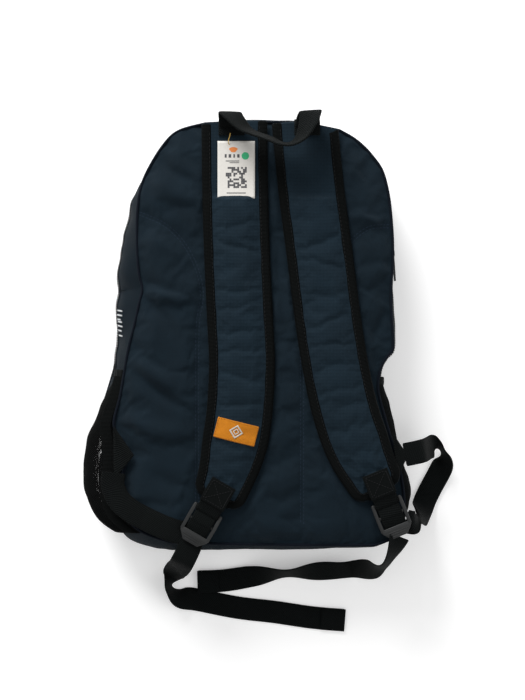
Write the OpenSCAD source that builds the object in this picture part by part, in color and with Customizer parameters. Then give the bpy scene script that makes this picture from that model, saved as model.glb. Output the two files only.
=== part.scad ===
// Solar backpack lying on its front: the solar panel is underneath, the back panel and the
// shoulder straps are on top. +Y points to the top of the bag, +X to the right of the back panel,
// +Z out of the back panel. The origin is the centre of the solar panel's outer face.

/* [Bag body] */
// Height of the bag from bottom seam to top seam
bag_h = 450; // [440:1:460]
// Width across the bottom corners
bottom_w = 300; // [296:1:306]
// Width across the top corners
top_w = 258; // [250:1:266]
// Radius of the top corners
top_r = 80; // [60:1:90]
// Radius of the bottom corners
bottom_r = 26; // [15:1:35]
// Depth of the main compartment
main_d = 47; // [45:1:50]
// Thickness of the padded back panel
back_t = 8; // [6:1:10]
// Thickness of a lined fabric wall
wall_t = 2; // [1.5:0.5:2.5]
// How far the piping stands out of the two body seams
piping_w = 2.4; // [2:0.2:3]

/* [Front pocket] */
// Width of the front pocket
pocket_w = 230; // [210:1:240]
// Length of the front pocket
pocket_l = 345; // [330:1:350]
// Depth of the front pocket
pocket_d = 14; // [13:1:16]
// Corner radius of the front pocket
pocket_r = 30; // [20:1:40]
// Thickness of the pocket fabric
pocket_t = 1.5; // [1:0.5:2]

/* [Solar panel] */
// Width of the solar panel
panel_w = 160; // [150:1:170]
// Length of the solar panel
panel_l = 230; // [220:1:240]
// Columns of cells
cell_cols = 3; // [2:1:4]
// Rows of cells
cell_rows = 4; // [3:1:6]
// Gap between cells
cell_gap = 3; // [2:0.5:4]
// Width of the stitched border round the panel
border_w = 12; // [10:1:14]

/* [Shoulder straps] */
// Width of a shoulder strap
strap_w = 68; // [60:1:70]
// Width of a shoulder strap at its lower end
strap_end_w = 54; // [46:1:60]
// Thickness of the shoulder pad
pad_t = 10; // [8:1:11]
// Width of the binding tape that shows
binding_w = 10; // [8:1:11]
// Thickness of the flat top end of a strap
strap_top_t = 4; // [3:0.5:4]
// Distance from the bag's centre to the line where the padding starts
fold_y = 142; // [140:1:143]

/* [Webbing and buckles] */
// Width of the webbing
web_w = 25; // [24:0.5:25]
// Thickness of the webbing
web_t = 1.6; // [1.4:0.1:1.8]
// Width of a ladder-lock buckle
lock_w = 36; // [35:1:37]
// Length of a ladder-lock buckle from its sewn bar to its lower bar
lock_l = 26; // [25:1:28]
// Thickness of a ladder-lock buckle
lock_t = 4.4; // [4:0.2:4.6]

/* [Mesh pockets] */
// How far the left mesh pocket stands out
left_bulge = 36; // [24:1:38]
// How far the right mesh pocket stands out
right_bulge = 14; // [10:1:20]
// Thickness of the mesh
mesh_t = 1.6; // [1.4:0.1:2]
// Height of the elastic hem
hem_h = 9; // [6:1:10]

/* [Battery] */
// Width of the battery pack
battery_w = 68; // [66:1:70]
// Length of the battery pack
battery_l = 130; // [126:1:134]
// Thickness of the battery pack
battery_t = 22; // [21.5:0.5:22]
// Wall of the battery case
case_t = 1.5; // [1.2:0.1:1.6]

/* [Zips] */
// Width of the zip tape
tape_w = 20; // [18:1:22]
// Width of the zip coil
coil_w = 4; // [3.6:0.2:4.4]

/* [Hidden] */

navy = [0.10, 0.15, 0.22];
black = [0.06, 0.07, 0.07];
grey = [0.28, 0.30, 0.30];

gap = 0.4;            // clearance between fabric pieces that move apart
thin = 0.2;           // clearance between fixed curved pieces
through = 1;          // how far a cut runs past a face

// Heights of the layers, from the solar panel upwards
cover_t = 0.6;
cell_t = 0.4;
panel_t = 3;
pocket_z = panel_t;
pocket_in_z = pocket_z + pocket_t;
front_z = pocket_in_z + pocket_d;
main_z = front_z + wall_t;
back_z = main_z + main_d;
back_top = back_z + back_t;
strap_z = back_top + gap;
pad_top = strap_z + pad_t;
strap_top_z = back_top + strap_top_t;

// The two round corners that set the outline
top_c = [top_w / 2 - top_r, bag_h / 2 - top_r];
bottom_c = [bottom_w / 2 - bottom_r, -bag_h / 2 + bottom_r];
bottom_seam_y = bottom_c.y;

// The straight side between them, as a point and a lean
side_d = bottom_c - top_c;
side_lean = acos((top_r - bottom_r) / norm(side_d)) + atan2(side_d.y, side_d.x);
side_p = top_c + top_r * [cos(side_lean), sin(side_lean)];

pocket_y = -22;       // centre of the front pocket
zip_end_y = -45;      // the main zip ends above the mesh pockets
zip_z = main_z + 12;
pocket_zip_z = pocket_in_z + pocket_d / 2;

// Shoulder strap centre lines, from the top seam to the lower end
left_line = [[-32, 222], [-31, 150], [-29, 85], [-26, 20], [-24, -27], [-27, -80], [-34, -120],
             [-43, -150], [-52, -171]];
right_line = [[42, 222], [48, 160], [57, 90], [66, 20], [74, -30], [84, -75], [98, -115],
              [110, -140], [122, -161]];
line_steps = 4;

// Ladder locks: pivot of the sewn bar and the lean of the buckle
left_lock_p = [-60, -180];
left_lock_a = -30;
right_lock_p = [127, -171];
right_lock_a = 22;
lock_z = back_top + 4.6;
lock_bar_r = 2.2;
lock_rail = 4.5;
turn_at = -13;        // the middle bar, along the buckle

// Webbing routes, each point on the centre of the tape
left_tail_route = [[-73, -199, 77], [-77, -212, 77.4], [-82, -224, 77.4], [-87, -234, 75.5],
                   [-91, -241, 60], [-96, -248, 36], [-101, -258, 12], [-105, -270, 3],
                   [-95, -281, 1.2], [-76, -285, 1.2], [-31, -294, 1.2], [11, -299, 1.2],
                   [52, -305, 1.2], [88, -308, 1.2]];
right_tail_route = [[141, -206, 77], [137, -216, 77.6], [132, -226, 77.6], [126, -236, 75.5],
                    [120, -243, 58], [112, -247, 34], [100, -250, 12], [84, -252, 4],
                    [62, -253, 3], [38, -254, 3], [10, -256, 3], [-18, -260, 3.2],
                    [-46, -264, 4], [-74, -265, 5]];
left_lower_route = [[-153, -132, 79.6], [-156, -150, 79.6], [-150, -170, 79], [-135, -186, 78],
                    [-116, -194, 77.6], [-98, -194, 77.2]];
right_lower_route = [[157, -117, 73.2], [166, -115, 72], [176, -113, 46], [187, -114, 14],
                     [195, -121, 5], [199, -132, 3], [195, -146, 3], [188, -161, 3],
                     [182, -176, 5], [178, -186, 24], [172, -191, 58], [162, -192, 75.4],
                     [152, -190, 76.6]];
route_steps = 4;

// Grab handle: centre line and the direction across the tape at each point
handle_route = [[-35, 222, 82.8], [-35, 227, 92], [-31, 225, 101], [-18, 216, 104],
                [2, 207, 103], [22, 201, 101], [36, 208, 102], [42, 222, 101],
                [44, 227, 92], [44, 222, 82.8]];
handle_across = [[1, 0, 0], [1, 0, 0], [0.8, 0, -0.6], [0.3, 0.3, -0.9], [0, 0.5, -0.9],
                 [0, 0.5, -0.9], [-0.5, 0.3, -0.8], [-0.8, 0, -0.6], [-1, 0, 0.1], [-1, 0, 0]];
handle_t = 2;

// Card tag and its thread
card_z = strap_top_z + gap;
card_t = 0.6;
thread_x = -37;
thread_route = [[-37, 203, 80.4], [-37, 204.5, 81.4], [-37, 207, 81.6], [-37, 211, 80.8]];

// Lead from the junction box, through the grommet, to the battery pack
lead_d = 4;
lead_route = [[0, 85, 9], [0, 95, 9], [8, 108, 9], [24, 114, 9], [40, 113, 11], [50, 112, 15],
              [56, 112, 20], [62, 111, 23.5], [72, 104, 23], [80, 90, 22.8], [82, 75, 22.8],
              [82, 60, 22.8], [80, 44, 24], [77, 32, 27], [76, 24, 29], [76, 18, 30]];
grommet_p = [56, 112];
grommet_r = 7.5;
grommet_hole = 6.4;
loop_ys = [64, 78];
junction_p = [0, 70];
junction_s = [46, 30, 9];
battery_p = [60, -62];
battery_z = main_z + 1.8;
battery_end = battery_p.y + battery_l / 2;

slider_l = 12;
slider_w = 11;
upper_at = -41;       // places of the two sliders, down the side from the top corner
lower_at = -57;

function unit(v) = v / norm(v);

// A smooth curve through a list of points
function bend(a, b, c, d, t) =
    0.5 * (2 * b + (c - a) * t + (2 * a - 5 * b + 4 * c - d) * t * t
    + (3 * b - a - 3 * c + d) * t * t * t);
function smooth(p, n) = concat(
    [for (i = [0 : len(p) - 2]) for (k = [0 : n - 1])
        bend(p[max(i - 1, 0)], p[i], p[i + 1], p[min(i + 2, len(p) - 1)], k / n)],
    [p[len(p) - 1]]);
function along(p, i) = unit(p[min(i + 1, len(p) - 1)] - p[max(i - 1, 0)]);
function level(p) = [for (i = [0 : len(p) - 1]) unit([-along(p, i).y, along(p, i).x, 0])];

// A flat or round section carried along a path
module sweep(path, across, section) {
    m = len(section);
    n = len(path);
    points = [for (i = [0 : n - 1])
        let (a = unit(across[i]), u = unit(cross(along(path, i), a)))
        for (s = section) path[i] + a * s.x + u * s.y];
    sides = [for (i = [0 : n - 2]) for (k = [0 : m - 1])
        let (a = i * m + k, b = i * m + (k + 1) % m)
        for (f = [[a, a + m, b + m], [a, b + m, b]]) f];
    first = [[for (k = [0 : m - 1]) k]];
    last = [[for (k = [m - 1 : -1 : 0]) (n - 1) * m + k]];
    polyhedron(points, concat(first, sides, last), convexity = 6);
}

function tape(w, t) = [[-w / 2, -t / 2], [w / 2, -t / 2], [w / 2, t / 2], [-w / 2, t / 2]];
function round_section(d, n) = [for (k = [0 : n - 1]) d / 2 * [cos(360 * k / n), sin(360 * k / n)]];

module level_tape(route) {
    path = smooth(route, route_steps);
    sweep(path, level(path), tape(web_w, web_t));
}

module slab(z, t) {
    translate([0, 0, z]) linear_extrude(t) children();
}

module centred_box(p, s) {
    translate([p.x - s.x / 2, p.y - s.y / 2, p.z]) cube(s);
}

module rounded(w, l, r) {
    hull() {
        for (x = [-1, 1]) {
            for (y = [-1, 1]) {
                translate([x * (w / 2 - r), y * (l / 2 - r)]) circle(r, $fn = 48);
            }
        }
    }
}

// The bag's outline, grown or shrunk by a distance
module outline(grow = 0) {
    hull() {
        for (x = [-1, 1]) {
            translate([x * top_c.x, top_c.y]) circle(top_r + grow, $fn = 96);
            translate([x * bottom_c.x, bottom_c.y]) circle(bottom_r + grow, $fn = 48);
        }
    }
}

module ring(outer, inner) {
    difference() {
        outline(outer);
        outline(inner);
    }
}

module above(y) {
    translate([-bag_h, y]) square(bag_h * 2);
}

module below(y) {
    translate([-bag_h, y - bag_h * 2]) square(bag_h * 2);
}

// Bag body

module back_panel() {
    color(navy) slab(back_z, back_t) outline();
}

module gusset() {
    color(navy) slab(main_z, main_d) difference() {
        ring(0, -wall_t);
        below(bottom_seam_y);
    }
}

module bottom_panel() {
    color(navy) slab(main_z, main_d) intersection() {
        ring(0, -wall_t);
        below(bottom_seam_y);
    }
}

module front_panel() {
    color(navy) slab(front_z, wall_t) difference() {
        outline();
        translate(grommet_p) circle(grommet_r, $fn = 32);
    }
}

module back_piping() {
    color(black) slab(back_z, piping_w * 1.6) ring(piping_w, 0);
}

module front_piping() {
    color(black) slab(front_z - piping_w * 0.3, piping_w * 1.6) ring(piping_w, 0);
}

// Zips

module main_zip_tape() {
    color(black) slab(zip_z - tape_w / 2, tape_w) intersection() {
        ring(0.8, 0);
        above(zip_end_y);
    }
}

module main_zip_coil() {
    color(black) slab(zip_z - coil_w / 2, coil_w) intersection() {
        ring(2.6, 0.8);
        above(zip_end_y + 6);
    }
}

// A slider over a coil that stands out along +X and runs along Y
module slider_body() {
    plate_x = 3;
    flange = (slider_w - coil_w) / 2 - gap;
    translate([plate_x, -slider_l / 2, -slider_w / 2]) cube([1.2, slider_l, slider_w]);
    for (z = [-slider_w / 2, slider_w / 2 - flange]) {
        translate([1.1, -slider_l / 2, z]) cube([plate_x - 1.1, slider_l, flange]);
    }
    difference() {
        translate([plate_x + 1.2, -3, -1]) cube([3.2, 6, 2]);
        translate([plate_x + 2.9, 0, -2]) cylinder(r = 0.9, h = 4, $fn = 24);
    }
}

// Its puller, lying along -Y
module puller_body() {
    pin_x = 5.9;
    translate([pin_x, 0, -2.4]) cylinder(r = 0.8, h = 4.8, $fn = 24);
    for (z = [-2.4, 1.4]) {
        translate([pin_x - 0.8, -9, z]) cube([1.6, 9.8, 1]);
    }
    translate([pin_x - 0.8, -30, -3.5]) cube([1.6, 21, 7]);
}

module on_side(at) {
    translate([side_p.x, side_p.y, zip_z]) rotate([0, 0, side_lean]) translate([0, at, 0]) children();
}

module upper_slider() {
    color(grey) on_side(upper_at) slider_body();
}

module upper_puller() {
    color(black) on_side(upper_at) mirror([0, 1, 0]) puller_body();
}

module lower_slider() {
    color(grey) on_side(lower_at) slider_body();
}

module lower_puller() {
    color(black) on_side(lower_at) puller_body();
}

// Front pocket

module pocket_outline(grow = 0) {
    translate([0, pocket_y]) rounded(pocket_w + 2 * grow, pocket_l + 2 * grow, pocket_r + grow);
}

module pocket_front() {
    color(navy) slab(pocket_z, pocket_t) difference() {
        pocket_outline();
        translate(junction_p) square([junction_s.x + 1, junction_s.y + 1], center = true);
    }
}

module pocket_gusset() {
    color(navy) slab(pocket_in_z, pocket_d) difference() {
        pocket_outline();
        pocket_outline(-pocket_t);
    }
}

pocket_top_y = pocket_y + pocket_l / 2;
pocket_zip_l = pocket_w - 2 * pocket_r;

module pocket_zip_tape() {
    color(black) centred_box([0, pocket_top_y + 0.4, pocket_in_z + 0.5],
        [pocket_zip_l, 0.8, pocket_d - 1]);
}

module pocket_zip_coil() {
    color(black) centred_box([0, pocket_top_y + 1.7, pocket_zip_z - coil_w / 2],
        [pocket_zip_l - 8, 1.8, coil_w]);
}

module on_pocket() {
    translate([-pocket_zip_l / 2 + 14, pocket_top_y, pocket_zip_z]) rotate([0, 0, 90]) children();
}

module pocket_slider() {
    color(grey) on_pocket() slider_body();
}

module pocket_puller() {
    color(black) on_pocket() puller_body();
}

// Solar panel, its cover outwards

module panel_cover() {
    color([0.15, 0.18, 0.30, 0.6]) slab(0, cover_t) rounded(panel_w, panel_l, 4);
}

cell_w = (panel_w - 12 - (cell_cols - 1) * cell_gap) / cell_cols;
cell_l = (panel_l - 12 - (cell_rows - 1) * cell_gap) / cell_rows;

module solar_cells() {
    for (i = [0 : cell_cols - 1]) {
        for (j = [0 : cell_rows - 1]) {
            x = (i - (cell_cols - 1) / 2) * (cell_w + cell_gap);
            y = (j - (cell_rows - 1) / 2) * (cell_l + cell_gap);
            color([0.05, 0.07, 0.16]) centred_box([x, y, cover_t], [cell_w, cell_l, cell_t]);
        }
    }
}

module panel_backsheet() {
    color("white") slab(cover_t + cell_t, panel_t - cover_t - cell_t) rounded(panel_w, panel_l, 4);
}

module panel_border() {
    color(black) slab(0.5, panel_t - 0.5) difference() {
        rounded(panel_w + 2 * border_w, panel_l + 2 * border_w, 10);
        rounded(panel_w + 2 * thin, panel_l + 2 * thin, 4 + thin);
    }
}

// Junction box, lead and battery pack

module junction_box() {
    s = junction_s;
    color(black) difference() {
        centred_box([junction_p.x, junction_p.y, panel_t], s);
        centred_box([junction_p.x, junction_p.y, panel_t + 1.5], [s.x - 12, s.y - 4, s.z]);
        for (x = [-1, 1]) {
            translate([junction_p.x + x * (s.x / 2 - 3), junction_p.y, panel_t + 3])
                cylinder(d = 1.8, h = s.z, $fn = 24);
        }
    }
}

junction_top = panel_t + junction_s.z;

module junction_lid() {
    color(black) difference() {
        centred_box([junction_p.x, junction_p.y, junction_top], [junction_s.x, junction_s.y, 1.5]);
        for (x = [-1, 1]) {
            translate([junction_p.x + x * (junction_s.x / 2 - 3), junction_p.y, junction_top - 1])
                cylinder(d = 2.2, h = 4, $fn = 24);
        }
    }
}

module junction_screws() {
    for (x = [-1, 1]) {
        color("silver") translate([junction_p.x + x * (junction_s.x / 2 - 3), junction_p.y, 0]) {
            translate([0, 0, junction_top - 4.5]) cylinder(d = 1.8, h = 6, $fn = 24);
            translate([0, 0, junction_top + 1.5]) cylinder(d = 3.6, h = 1, $fn = 24);
        }
    }
}

module panel_lead() {
    path = smooth(lead_route, 3);
    color(black) sweep(path, level(path), round_section(lead_d, 8));
}

module lead_plug() {
    tip = lead_route[len(lead_route) - 1];
    color(black) centred_box([tip.x, (tip.y + battery_end) / 2, tip.z - 4],
        [10, tip.y - battery_end, 8]);
}

module lead_loops() {
    for (y = loop_ys) {
        color(navy) difference() {
            centred_box([82, y, main_z], [14, 8, 6.2]);
            centred_box([82, y, main_z - through], [5, 12, 6]);
        }
    }
}

module cable_grommet() {
    color(black) difference() {
        translate([grommet_p.x, grommet_p.y, front_z]) cylinder(r = grommet_r, h = wall_t, $fn = 32);
        translate([grommet_p.x, grommet_p.y, front_z - through])
            cylinder(r = grommet_hole, h = wall_t + 2 * through, $fn = 32);
    }
}

module battery_shell(z, t, floor_z) {
    s = [battery_w, battery_l];
    difference() {
        translate([battery_p.x, battery_p.y, z]) linear_extrude(t) rounded(s.x, s.y, 8);
        translate([battery_p.x, battery_p.y, floor_z]) linear_extrude(t - case_t)
            rounded(s.x - 2 * case_t, s.y - 2 * case_t, 8 - case_t);
        usb_cuts(thin);
    }
}

socket_z = battery_z + battery_t / 2;
socket_s = [15, 12, 7];
socket_xs = [-22, -2];

module usb_cuts(c) {
    for (x = socket_xs) {
        centred_box([battery_p.x + x, battery_end - socket_s.y / 2, socket_z - socket_s.z / 2 - c],
            [socket_s.x + 2 * c, socket_s.y + 2 * c, socket_s.z + 2 * c]);
    }
}

module battery_base() {
    color(grey) difference() {
        battery_shell(battery_z, battery_t / 2, battery_z + case_t);
        button_cut();
    }
}

module battery_lid() {
    color(grey) difference() {
        battery_shell(battery_z + battery_t / 2, battery_t / 2, battery_z + battery_t / 2);
        button_cut();
    }
}

module battery_cells() {
    for (i = [-1 : 1]) {
        color("seagreen") translate([battery_p.x + i * 19, battery_p.y - 56, socket_z])
            rotate([-90, 0, 0]) cylinder(d = 18, h = 65, $fn = 48);
    }
}

module battery_board() {
    color("darkgreen") centred_box([battery_p.x, battery_p.y + 28, socket_z - socket_s.z / 2 - 1.8],
        [battery_w - 8, 30, 1.6]);
}

module usb_sockets() {
    for (x = socket_xs) {
        color("silver") difference() {
            centred_box([battery_p.x + x, battery_end - socket_s.y / 2, socket_z - socket_s.z / 2],
                socket_s);
            centred_box([battery_p.x + x, battery_end - 4, socket_z - socket_s.z / 2 + 0.6],
                [socket_s.x - 1.2, 10, socket_s.z - 1.2]);
        }
    }
}

// A push button in the right-hand side of the battery pack
button_y = battery_p.y + 34;
button_d = 8;

module button_cut() {
    translate([battery_p.x + battery_w / 2 - 4, button_y, socket_z]) rotate([0, 90, 0])
        cylinder(d = button_d + 0.2, h = 6, $fn = 32);
}

module power_button() {
    color("white") translate([battery_p.x + battery_w / 2 - 2.5, button_y, socket_z])
        rotate([0, 90, 0]) cylinder(d = button_d, h = 3, $fn = 32);
}

sleeve_t = 1.6;
sleeve_l = 96;

module battery_sleeve() {
    y = battery_p.y - battery_l / 2 - 3;
    color(navy) difference() {
        translate([battery_p.x - battery_w / 2 - 3, y, main_z])
            cube([battery_w + 6, sleeve_l, battery_t + 2 + 2 * sleeve_t]);
        translate([battery_p.x - battery_w / 2 - 3 + sleeve_t, y + sleeve_t, main_z + sleeve_t])
            cube([battery_w + 6 - 2 * sleeve_t, sleeve_l, battery_t + 2]);
    }
}

// Mesh side pockets

pocket_mouth_y = -62;
mesh_z = front_z + piping_w * 1.3 + gap;
mesh_h = back_z - gap - mesh_z;

module mesh_outline(bulge, shrink = 0) {
    side_x = bottom_w / 2;
    hull() {
        translate([side_x - 4, pocket_mouth_y + hem_h]) circle(bulge / 2 - shrink, $fn = 32);
        translate([side_x + bulge / 2 - 10, -150]) circle(bulge / 2 + 14 - shrink, $fn = 48);
        translate([side_x - 6, -196]) circle(bulge / 2 + 4 - shrink, $fn = 32);
    }
}

module mesh_pocket(bulge) {
    difference() {
        slab(mesh_z, mesh_h) difference() {
            mesh_outline(bulge);
            outline(thin);
            above(pocket_mouth_y);
        }
        slab(mesh_z + mesh_t, mesh_h - 2 * mesh_t) mesh_outline(bulge, mesh_t);
    }
}

module pocket_hem(bulge) {
    difference() {
        slab(mesh_z, mesh_h) difference() {
            intersection() {
                mesh_outline(bulge, -0.6);
                above(pocket_mouth_y);
                below(pocket_mouth_y + hem_h);
            }
            outline(thin);
        }
        slab(mesh_z + mesh_t + 0.6, mesh_h - 2 * mesh_t - 1.2) mesh_outline(bulge, mesh_t);
    }
}

module left_mesh_pocket() {
    color(black) mirror([1, 0, 0]) mesh_pocket(left_bulge);
}

module right_mesh_pocket() {
    color(black) mesh_pocket(right_bulge);
}

module left_pocket_hem() {
    color(black) mirror([1, 0, 0]) pocket_hem(left_bulge);
}

module right_pocket_hem() {
    color(black) pocket_hem(right_bulge);
}

// Shoulder straps

module strap_outline(line, inset) {
    path = smooth(line, line_steps);
    n = len(path);
    half = [for (i = [0 : n - 1])
        let (low = max(0, (-100 - path[i].y) / 72))
        (strap_w + (strap_end_w - strap_w) * low) / 2 - inset];
    right = [for (i = [0 : n - 1]) path[i] + half[i] * [-along(path, i).y, along(path, i).x]];
    left = [for (i = [n - 1 : -1 : 0]) path[i] - half[i] * [-along(path, i).y, along(path, i).x]];
    cut = inset * along(path, n - 1);
    difference() {
        polygon(concat(right, left));
        translate(path[n - 1] - cut) rotate(atan2(cut.y, cut.x)) translate([0, -strap_w])
            square(2 * strap_w);
    }
}

module strap_border(line) {
    difference() {
        strap_outline(line, 0.01);
        strap_outline(line, binding_w);
    }
}

module strap_top(line) {
    slab(back_top, strap_top_t) intersection() {
        strap_outline(line, binding_w);
        above(fold_y + gap);
    }
}

module top_binding(line) {
    slab(back_top, strap_top_t) intersection() {
        strap_border(line);
        above(fold_y + gap);
    }
}

module pad(line) {
    slab(strap_z, pad_t) intersection() {
        strap_outline(line, binding_w);
        below(fold_y);
    }
}

module binding(line) {
    slab(strap_z, pad_t) intersection() {
        strap_border(line);
        below(fold_y);
    }
}

module strap_tops() {
    color(navy) strap_top(left_line);
    color(navy) strap_top(right_line);
}

module top_bindings() {
    color(black) top_binding(left_line);
    color(black) top_binding(right_line);
}

module left_pad() {
    color(navy) pad(left_line);
}

module right_pad() {
    color(navy) pad(right_line);
}

module left_binding() {
    color(black) binding(left_line);
}

module right_binding() {
    color(black) binding(right_line);
}

// Ladder locks

module on_lock(p, a) {
    translate([p.x, p.y, lock_z]) rotate([0, 0, a]) children();
}

// A webbing loop sewn to the pad, with the buckle's bar in it
module across_lock(w) {
    translate([-w / 2, 0, 0]) rotate([90, 0, 90]) children();
}

module web_loop() {
    sewn_z = pad_top - lock_z;
    loop_w = web_w - 1;
    bore_r = lock_bar_r + 0.3;
    difference() {
        across_lock(loop_w) {
            cylinder(r = bore_r + web_t, h = loop_w, $fn = 32);
            linear_extrude(loop_w) polygon([[0, bore_r + 0.2], [0, bore_r + web_t], [7, sewn_z + web_t],
                [36, sewn_z + web_t], [36, sewn_z], [8, sewn_z]]);
        }
        across_lock(web_w) cylinder(r = bore_r, h = web_w, $fn = 32);
    }
}

module ladder_lock() {
    rail_x = lock_w / 2 - lock_rail;
    for (x = [-lock_w / 2, rail_x]) {
        translate([x, -lock_l - 2, -lock_t / 2]) cube([lock_rail, lock_l + 5, lock_t]);
    }
    across_lock(2 * rail_x + 2) cylinder(r = lock_bar_r, h = 2 * rail_x + 2, $fn = 32);
    translate([-rail_x - 0.5, turn_at - 1.5, -0.9]) cube([2 * rail_x + 1, 3, 2]);
    translate([-rail_x - 0.5, -lock_l - 2, -0.4]) cube([2 * rail_x + 1, 3, 2.4]);
    linear_extrude(2) polygon([[-lock_w / 2 + 3, -lock_l - 1],
        [lock_w / 2 - 3, -lock_l - 1], [8, -lock_l - 11], [-8, -lock_l - 11]]);
}

// The webbing's turn over the middle bar
module web_turn() {
    across_lock(web_w) linear_extrude(web_w) difference() {
        translate([turn_at - 3.4, -0.9 - web_t]) square([6.8, 2 + 2 * web_t]);
        translate([turn_at - 1.5, -0.9]) square([3, 2]);
    }
}

module left_web_loop() {
    color(black) on_lock(left_lock_p, left_lock_a) web_loop();
}

module right_web_loop() {
    color(black) on_lock(right_lock_p, right_lock_a) web_loop();
}

module left_ladder_lock() {
    color(grey) on_lock(left_lock_p, left_lock_a) ladder_lock();
}

module right_ladder_lock() {
    color(grey) on_lock(right_lock_p, right_lock_a) ladder_lock();
}

module left_web_turn() {
    color(black) on_lock(left_lock_p, left_lock_a) web_turn();
}

module right_web_turn() {
    color(black) on_lock(right_lock_p, right_lock_a) web_turn();
}

// Webbing that hangs and lies free

module strap_wedges() {
    color(black) slab(back_top, 3) polygon([[-158, -92], [-136, -121], [-158, -147]]);
    color(black) slab(back_z + 0.4, 3) polygon([[148, -98], [151, -140], [164, -119]]);
}

module lower_webbing() {
    color(black) level_tape(left_lower_route);
    color(black) level_tape(right_lower_route);
}

module webbing_tails() {
    color(black) level_tape(left_tail_route);
    color(black) level_tape(right_tail_route);
}

// Grab handle, label and tag

anchor_xs = [-35, 44];

module handle_anchors() {
    for (x = anchor_xs) {
        color(black) centred_box([x, 217, strap_top_z], [web_w + 2, 11, 1.6]);
    }
}

module grab_handle() {
    color(black) sweep(smooth(handle_route, 3), smooth(handle_across, 3), tape(web_w, handle_t));
}

module woven_label() {
    color("orange") translate([-30, -96, pad_top]) rotate([0, 0, -14])
        centred_box([0, 0, 0], [45, 22, 0.6]);
}

module card_tag() {
    color("ivory") difference() {
        centred_box([-30, 177, card_z], [39, 60, card_t]);
        translate([thread_x, 203, card_z - through]) cylinder(d = 3, h = 3, $fn = 24);
    }
}

module tag_thread() {
    path = smooth(thread_route, 3);
    color("goldenrod") sweep(path, level(path), round_section(1, 8));
}

back_panel();
gusset();
bottom_panel();
front_panel();
back_piping();
front_piping();
main_zip_tape();
main_zip_coil();
upper_slider();
upper_puller();
lower_slider();
lower_puller();
pocket_front();
pocket_gusset();
pocket_zip_tape();
pocket_zip_coil();
pocket_slider();
pocket_puller();
panel_cover();
solar_cells();
panel_backsheet();
panel_border();
junction_box();
junction_lid();
junction_screws();
panel_lead();
lead_plug();
lead_loops();
cable_grommet();
battery_base();
battery_lid();
battery_cells();
battery_board();
usb_sockets();
power_button();
battery_sleeve();
left_mesh_pocket();
right_mesh_pocket();
left_pocket_hem();
right_pocket_hem();
strap_tops();
top_bindings();
left_pad();
right_pad();
left_binding();
right_binding();
left_web_loop();
right_web_loop();
left_ladder_lock();
right_ladder_lock();
left_web_turn();
right_web_turn();
strap_wedges();
lower_webbing();
webbing_tails();
handle_anchors();
grab_handle();
woven_label();
card_tag();
tag_thread();
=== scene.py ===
import math
import random

import bpy
import numpy as np
from mathutils import Matrix, Vector, noise
from mathutils.bvhtree import BVHTree


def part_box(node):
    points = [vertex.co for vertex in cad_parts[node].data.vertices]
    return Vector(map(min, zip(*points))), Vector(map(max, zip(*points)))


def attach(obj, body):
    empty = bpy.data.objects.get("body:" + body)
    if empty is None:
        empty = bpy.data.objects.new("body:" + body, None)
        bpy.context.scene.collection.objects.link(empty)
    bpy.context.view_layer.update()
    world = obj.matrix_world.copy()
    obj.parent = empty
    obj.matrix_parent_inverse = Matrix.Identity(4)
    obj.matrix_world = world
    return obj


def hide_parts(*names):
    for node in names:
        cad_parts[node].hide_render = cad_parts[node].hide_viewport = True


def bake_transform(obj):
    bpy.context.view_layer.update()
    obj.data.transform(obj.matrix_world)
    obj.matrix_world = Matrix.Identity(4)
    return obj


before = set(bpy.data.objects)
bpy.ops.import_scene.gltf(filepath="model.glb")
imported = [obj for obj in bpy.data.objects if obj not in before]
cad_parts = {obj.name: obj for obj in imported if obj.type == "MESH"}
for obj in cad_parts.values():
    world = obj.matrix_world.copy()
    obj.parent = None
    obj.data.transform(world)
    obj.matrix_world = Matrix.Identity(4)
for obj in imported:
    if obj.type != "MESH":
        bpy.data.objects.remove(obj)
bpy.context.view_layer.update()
scene = bpy.context.scene
MM = 0.001


# Curves and meshes. Points are in millimetres until make() writes them in metres.

def smooth(points, steps):
    """A smooth curve through points of any dimension, with some steps between each pair."""
    p = np.array(points, float)
    out = []
    for i in range(len(p) - 1):
        a, b, c, d = p[max(i - 1, 0)], p[i], p[i + 1], p[min(i + 2, len(p) - 1)]
        for k in range(steps):
            t = k / steps
            out.append(0.5 * (2 * b + (c - a) * t + (2 * a - 5 * b + 4 * c - d) * t * t
                              + (3 * b - a - 3 * c + d) * t ** 3))
    out.append(p[-1])
    return np.array(out)


def lengths(path, dims=3):
    """Distance along a path at each of its points."""
    steps = np.linalg.norm(np.diff(path[:, :dims], axis=0), axis=1)
    return np.concatenate([[0], np.cumsum(steps)])


def resample(rows, s, at):
    """Rows of numbers known at the places s, as they are at other places."""
    return np.stack([np.interp(at, s, column) for column in np.transpose(rows)], axis=1)


def spread(rows, count):
    """Another number of rows, at even shares of the first number."""
    return resample(rows, np.linspace(0, 1, len(rows)), np.linspace(0, 1, count))


def even(path, count, dims=3):
    """The same path with evenly spaced points."""
    s = lengths(path, dims)
    return resample(path, s, np.linspace(0, s[-1], count))


def unit(v):
    return v / np.maximum(np.linalg.norm(v, axis=-1, keepdims=True), 1e-9)


def tangents(path):
    return unit(np.gradient(path, axis=0))


def raised(xy, z):
    """Points of the plan at one height, or each at its own."""
    return np.column_stack([xy, np.broadcast_to(z, len(xy))])


def turned(place, degrees, a, b):
    """The point of the plan at a and b along axes that are turned about a place."""
    turn = math.radians(degrees)
    return (place[0] + a * math.cos(turn) - b * math.sin(turn),
            place[1] + a * math.sin(turn) + b * math.cos(turn))


def ramp(x, low, high):
    t = np.clip((np.asarray(x, float) - low) / (high - low), 0, 1)
    return t * t * (3 - 2 * t)


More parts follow.
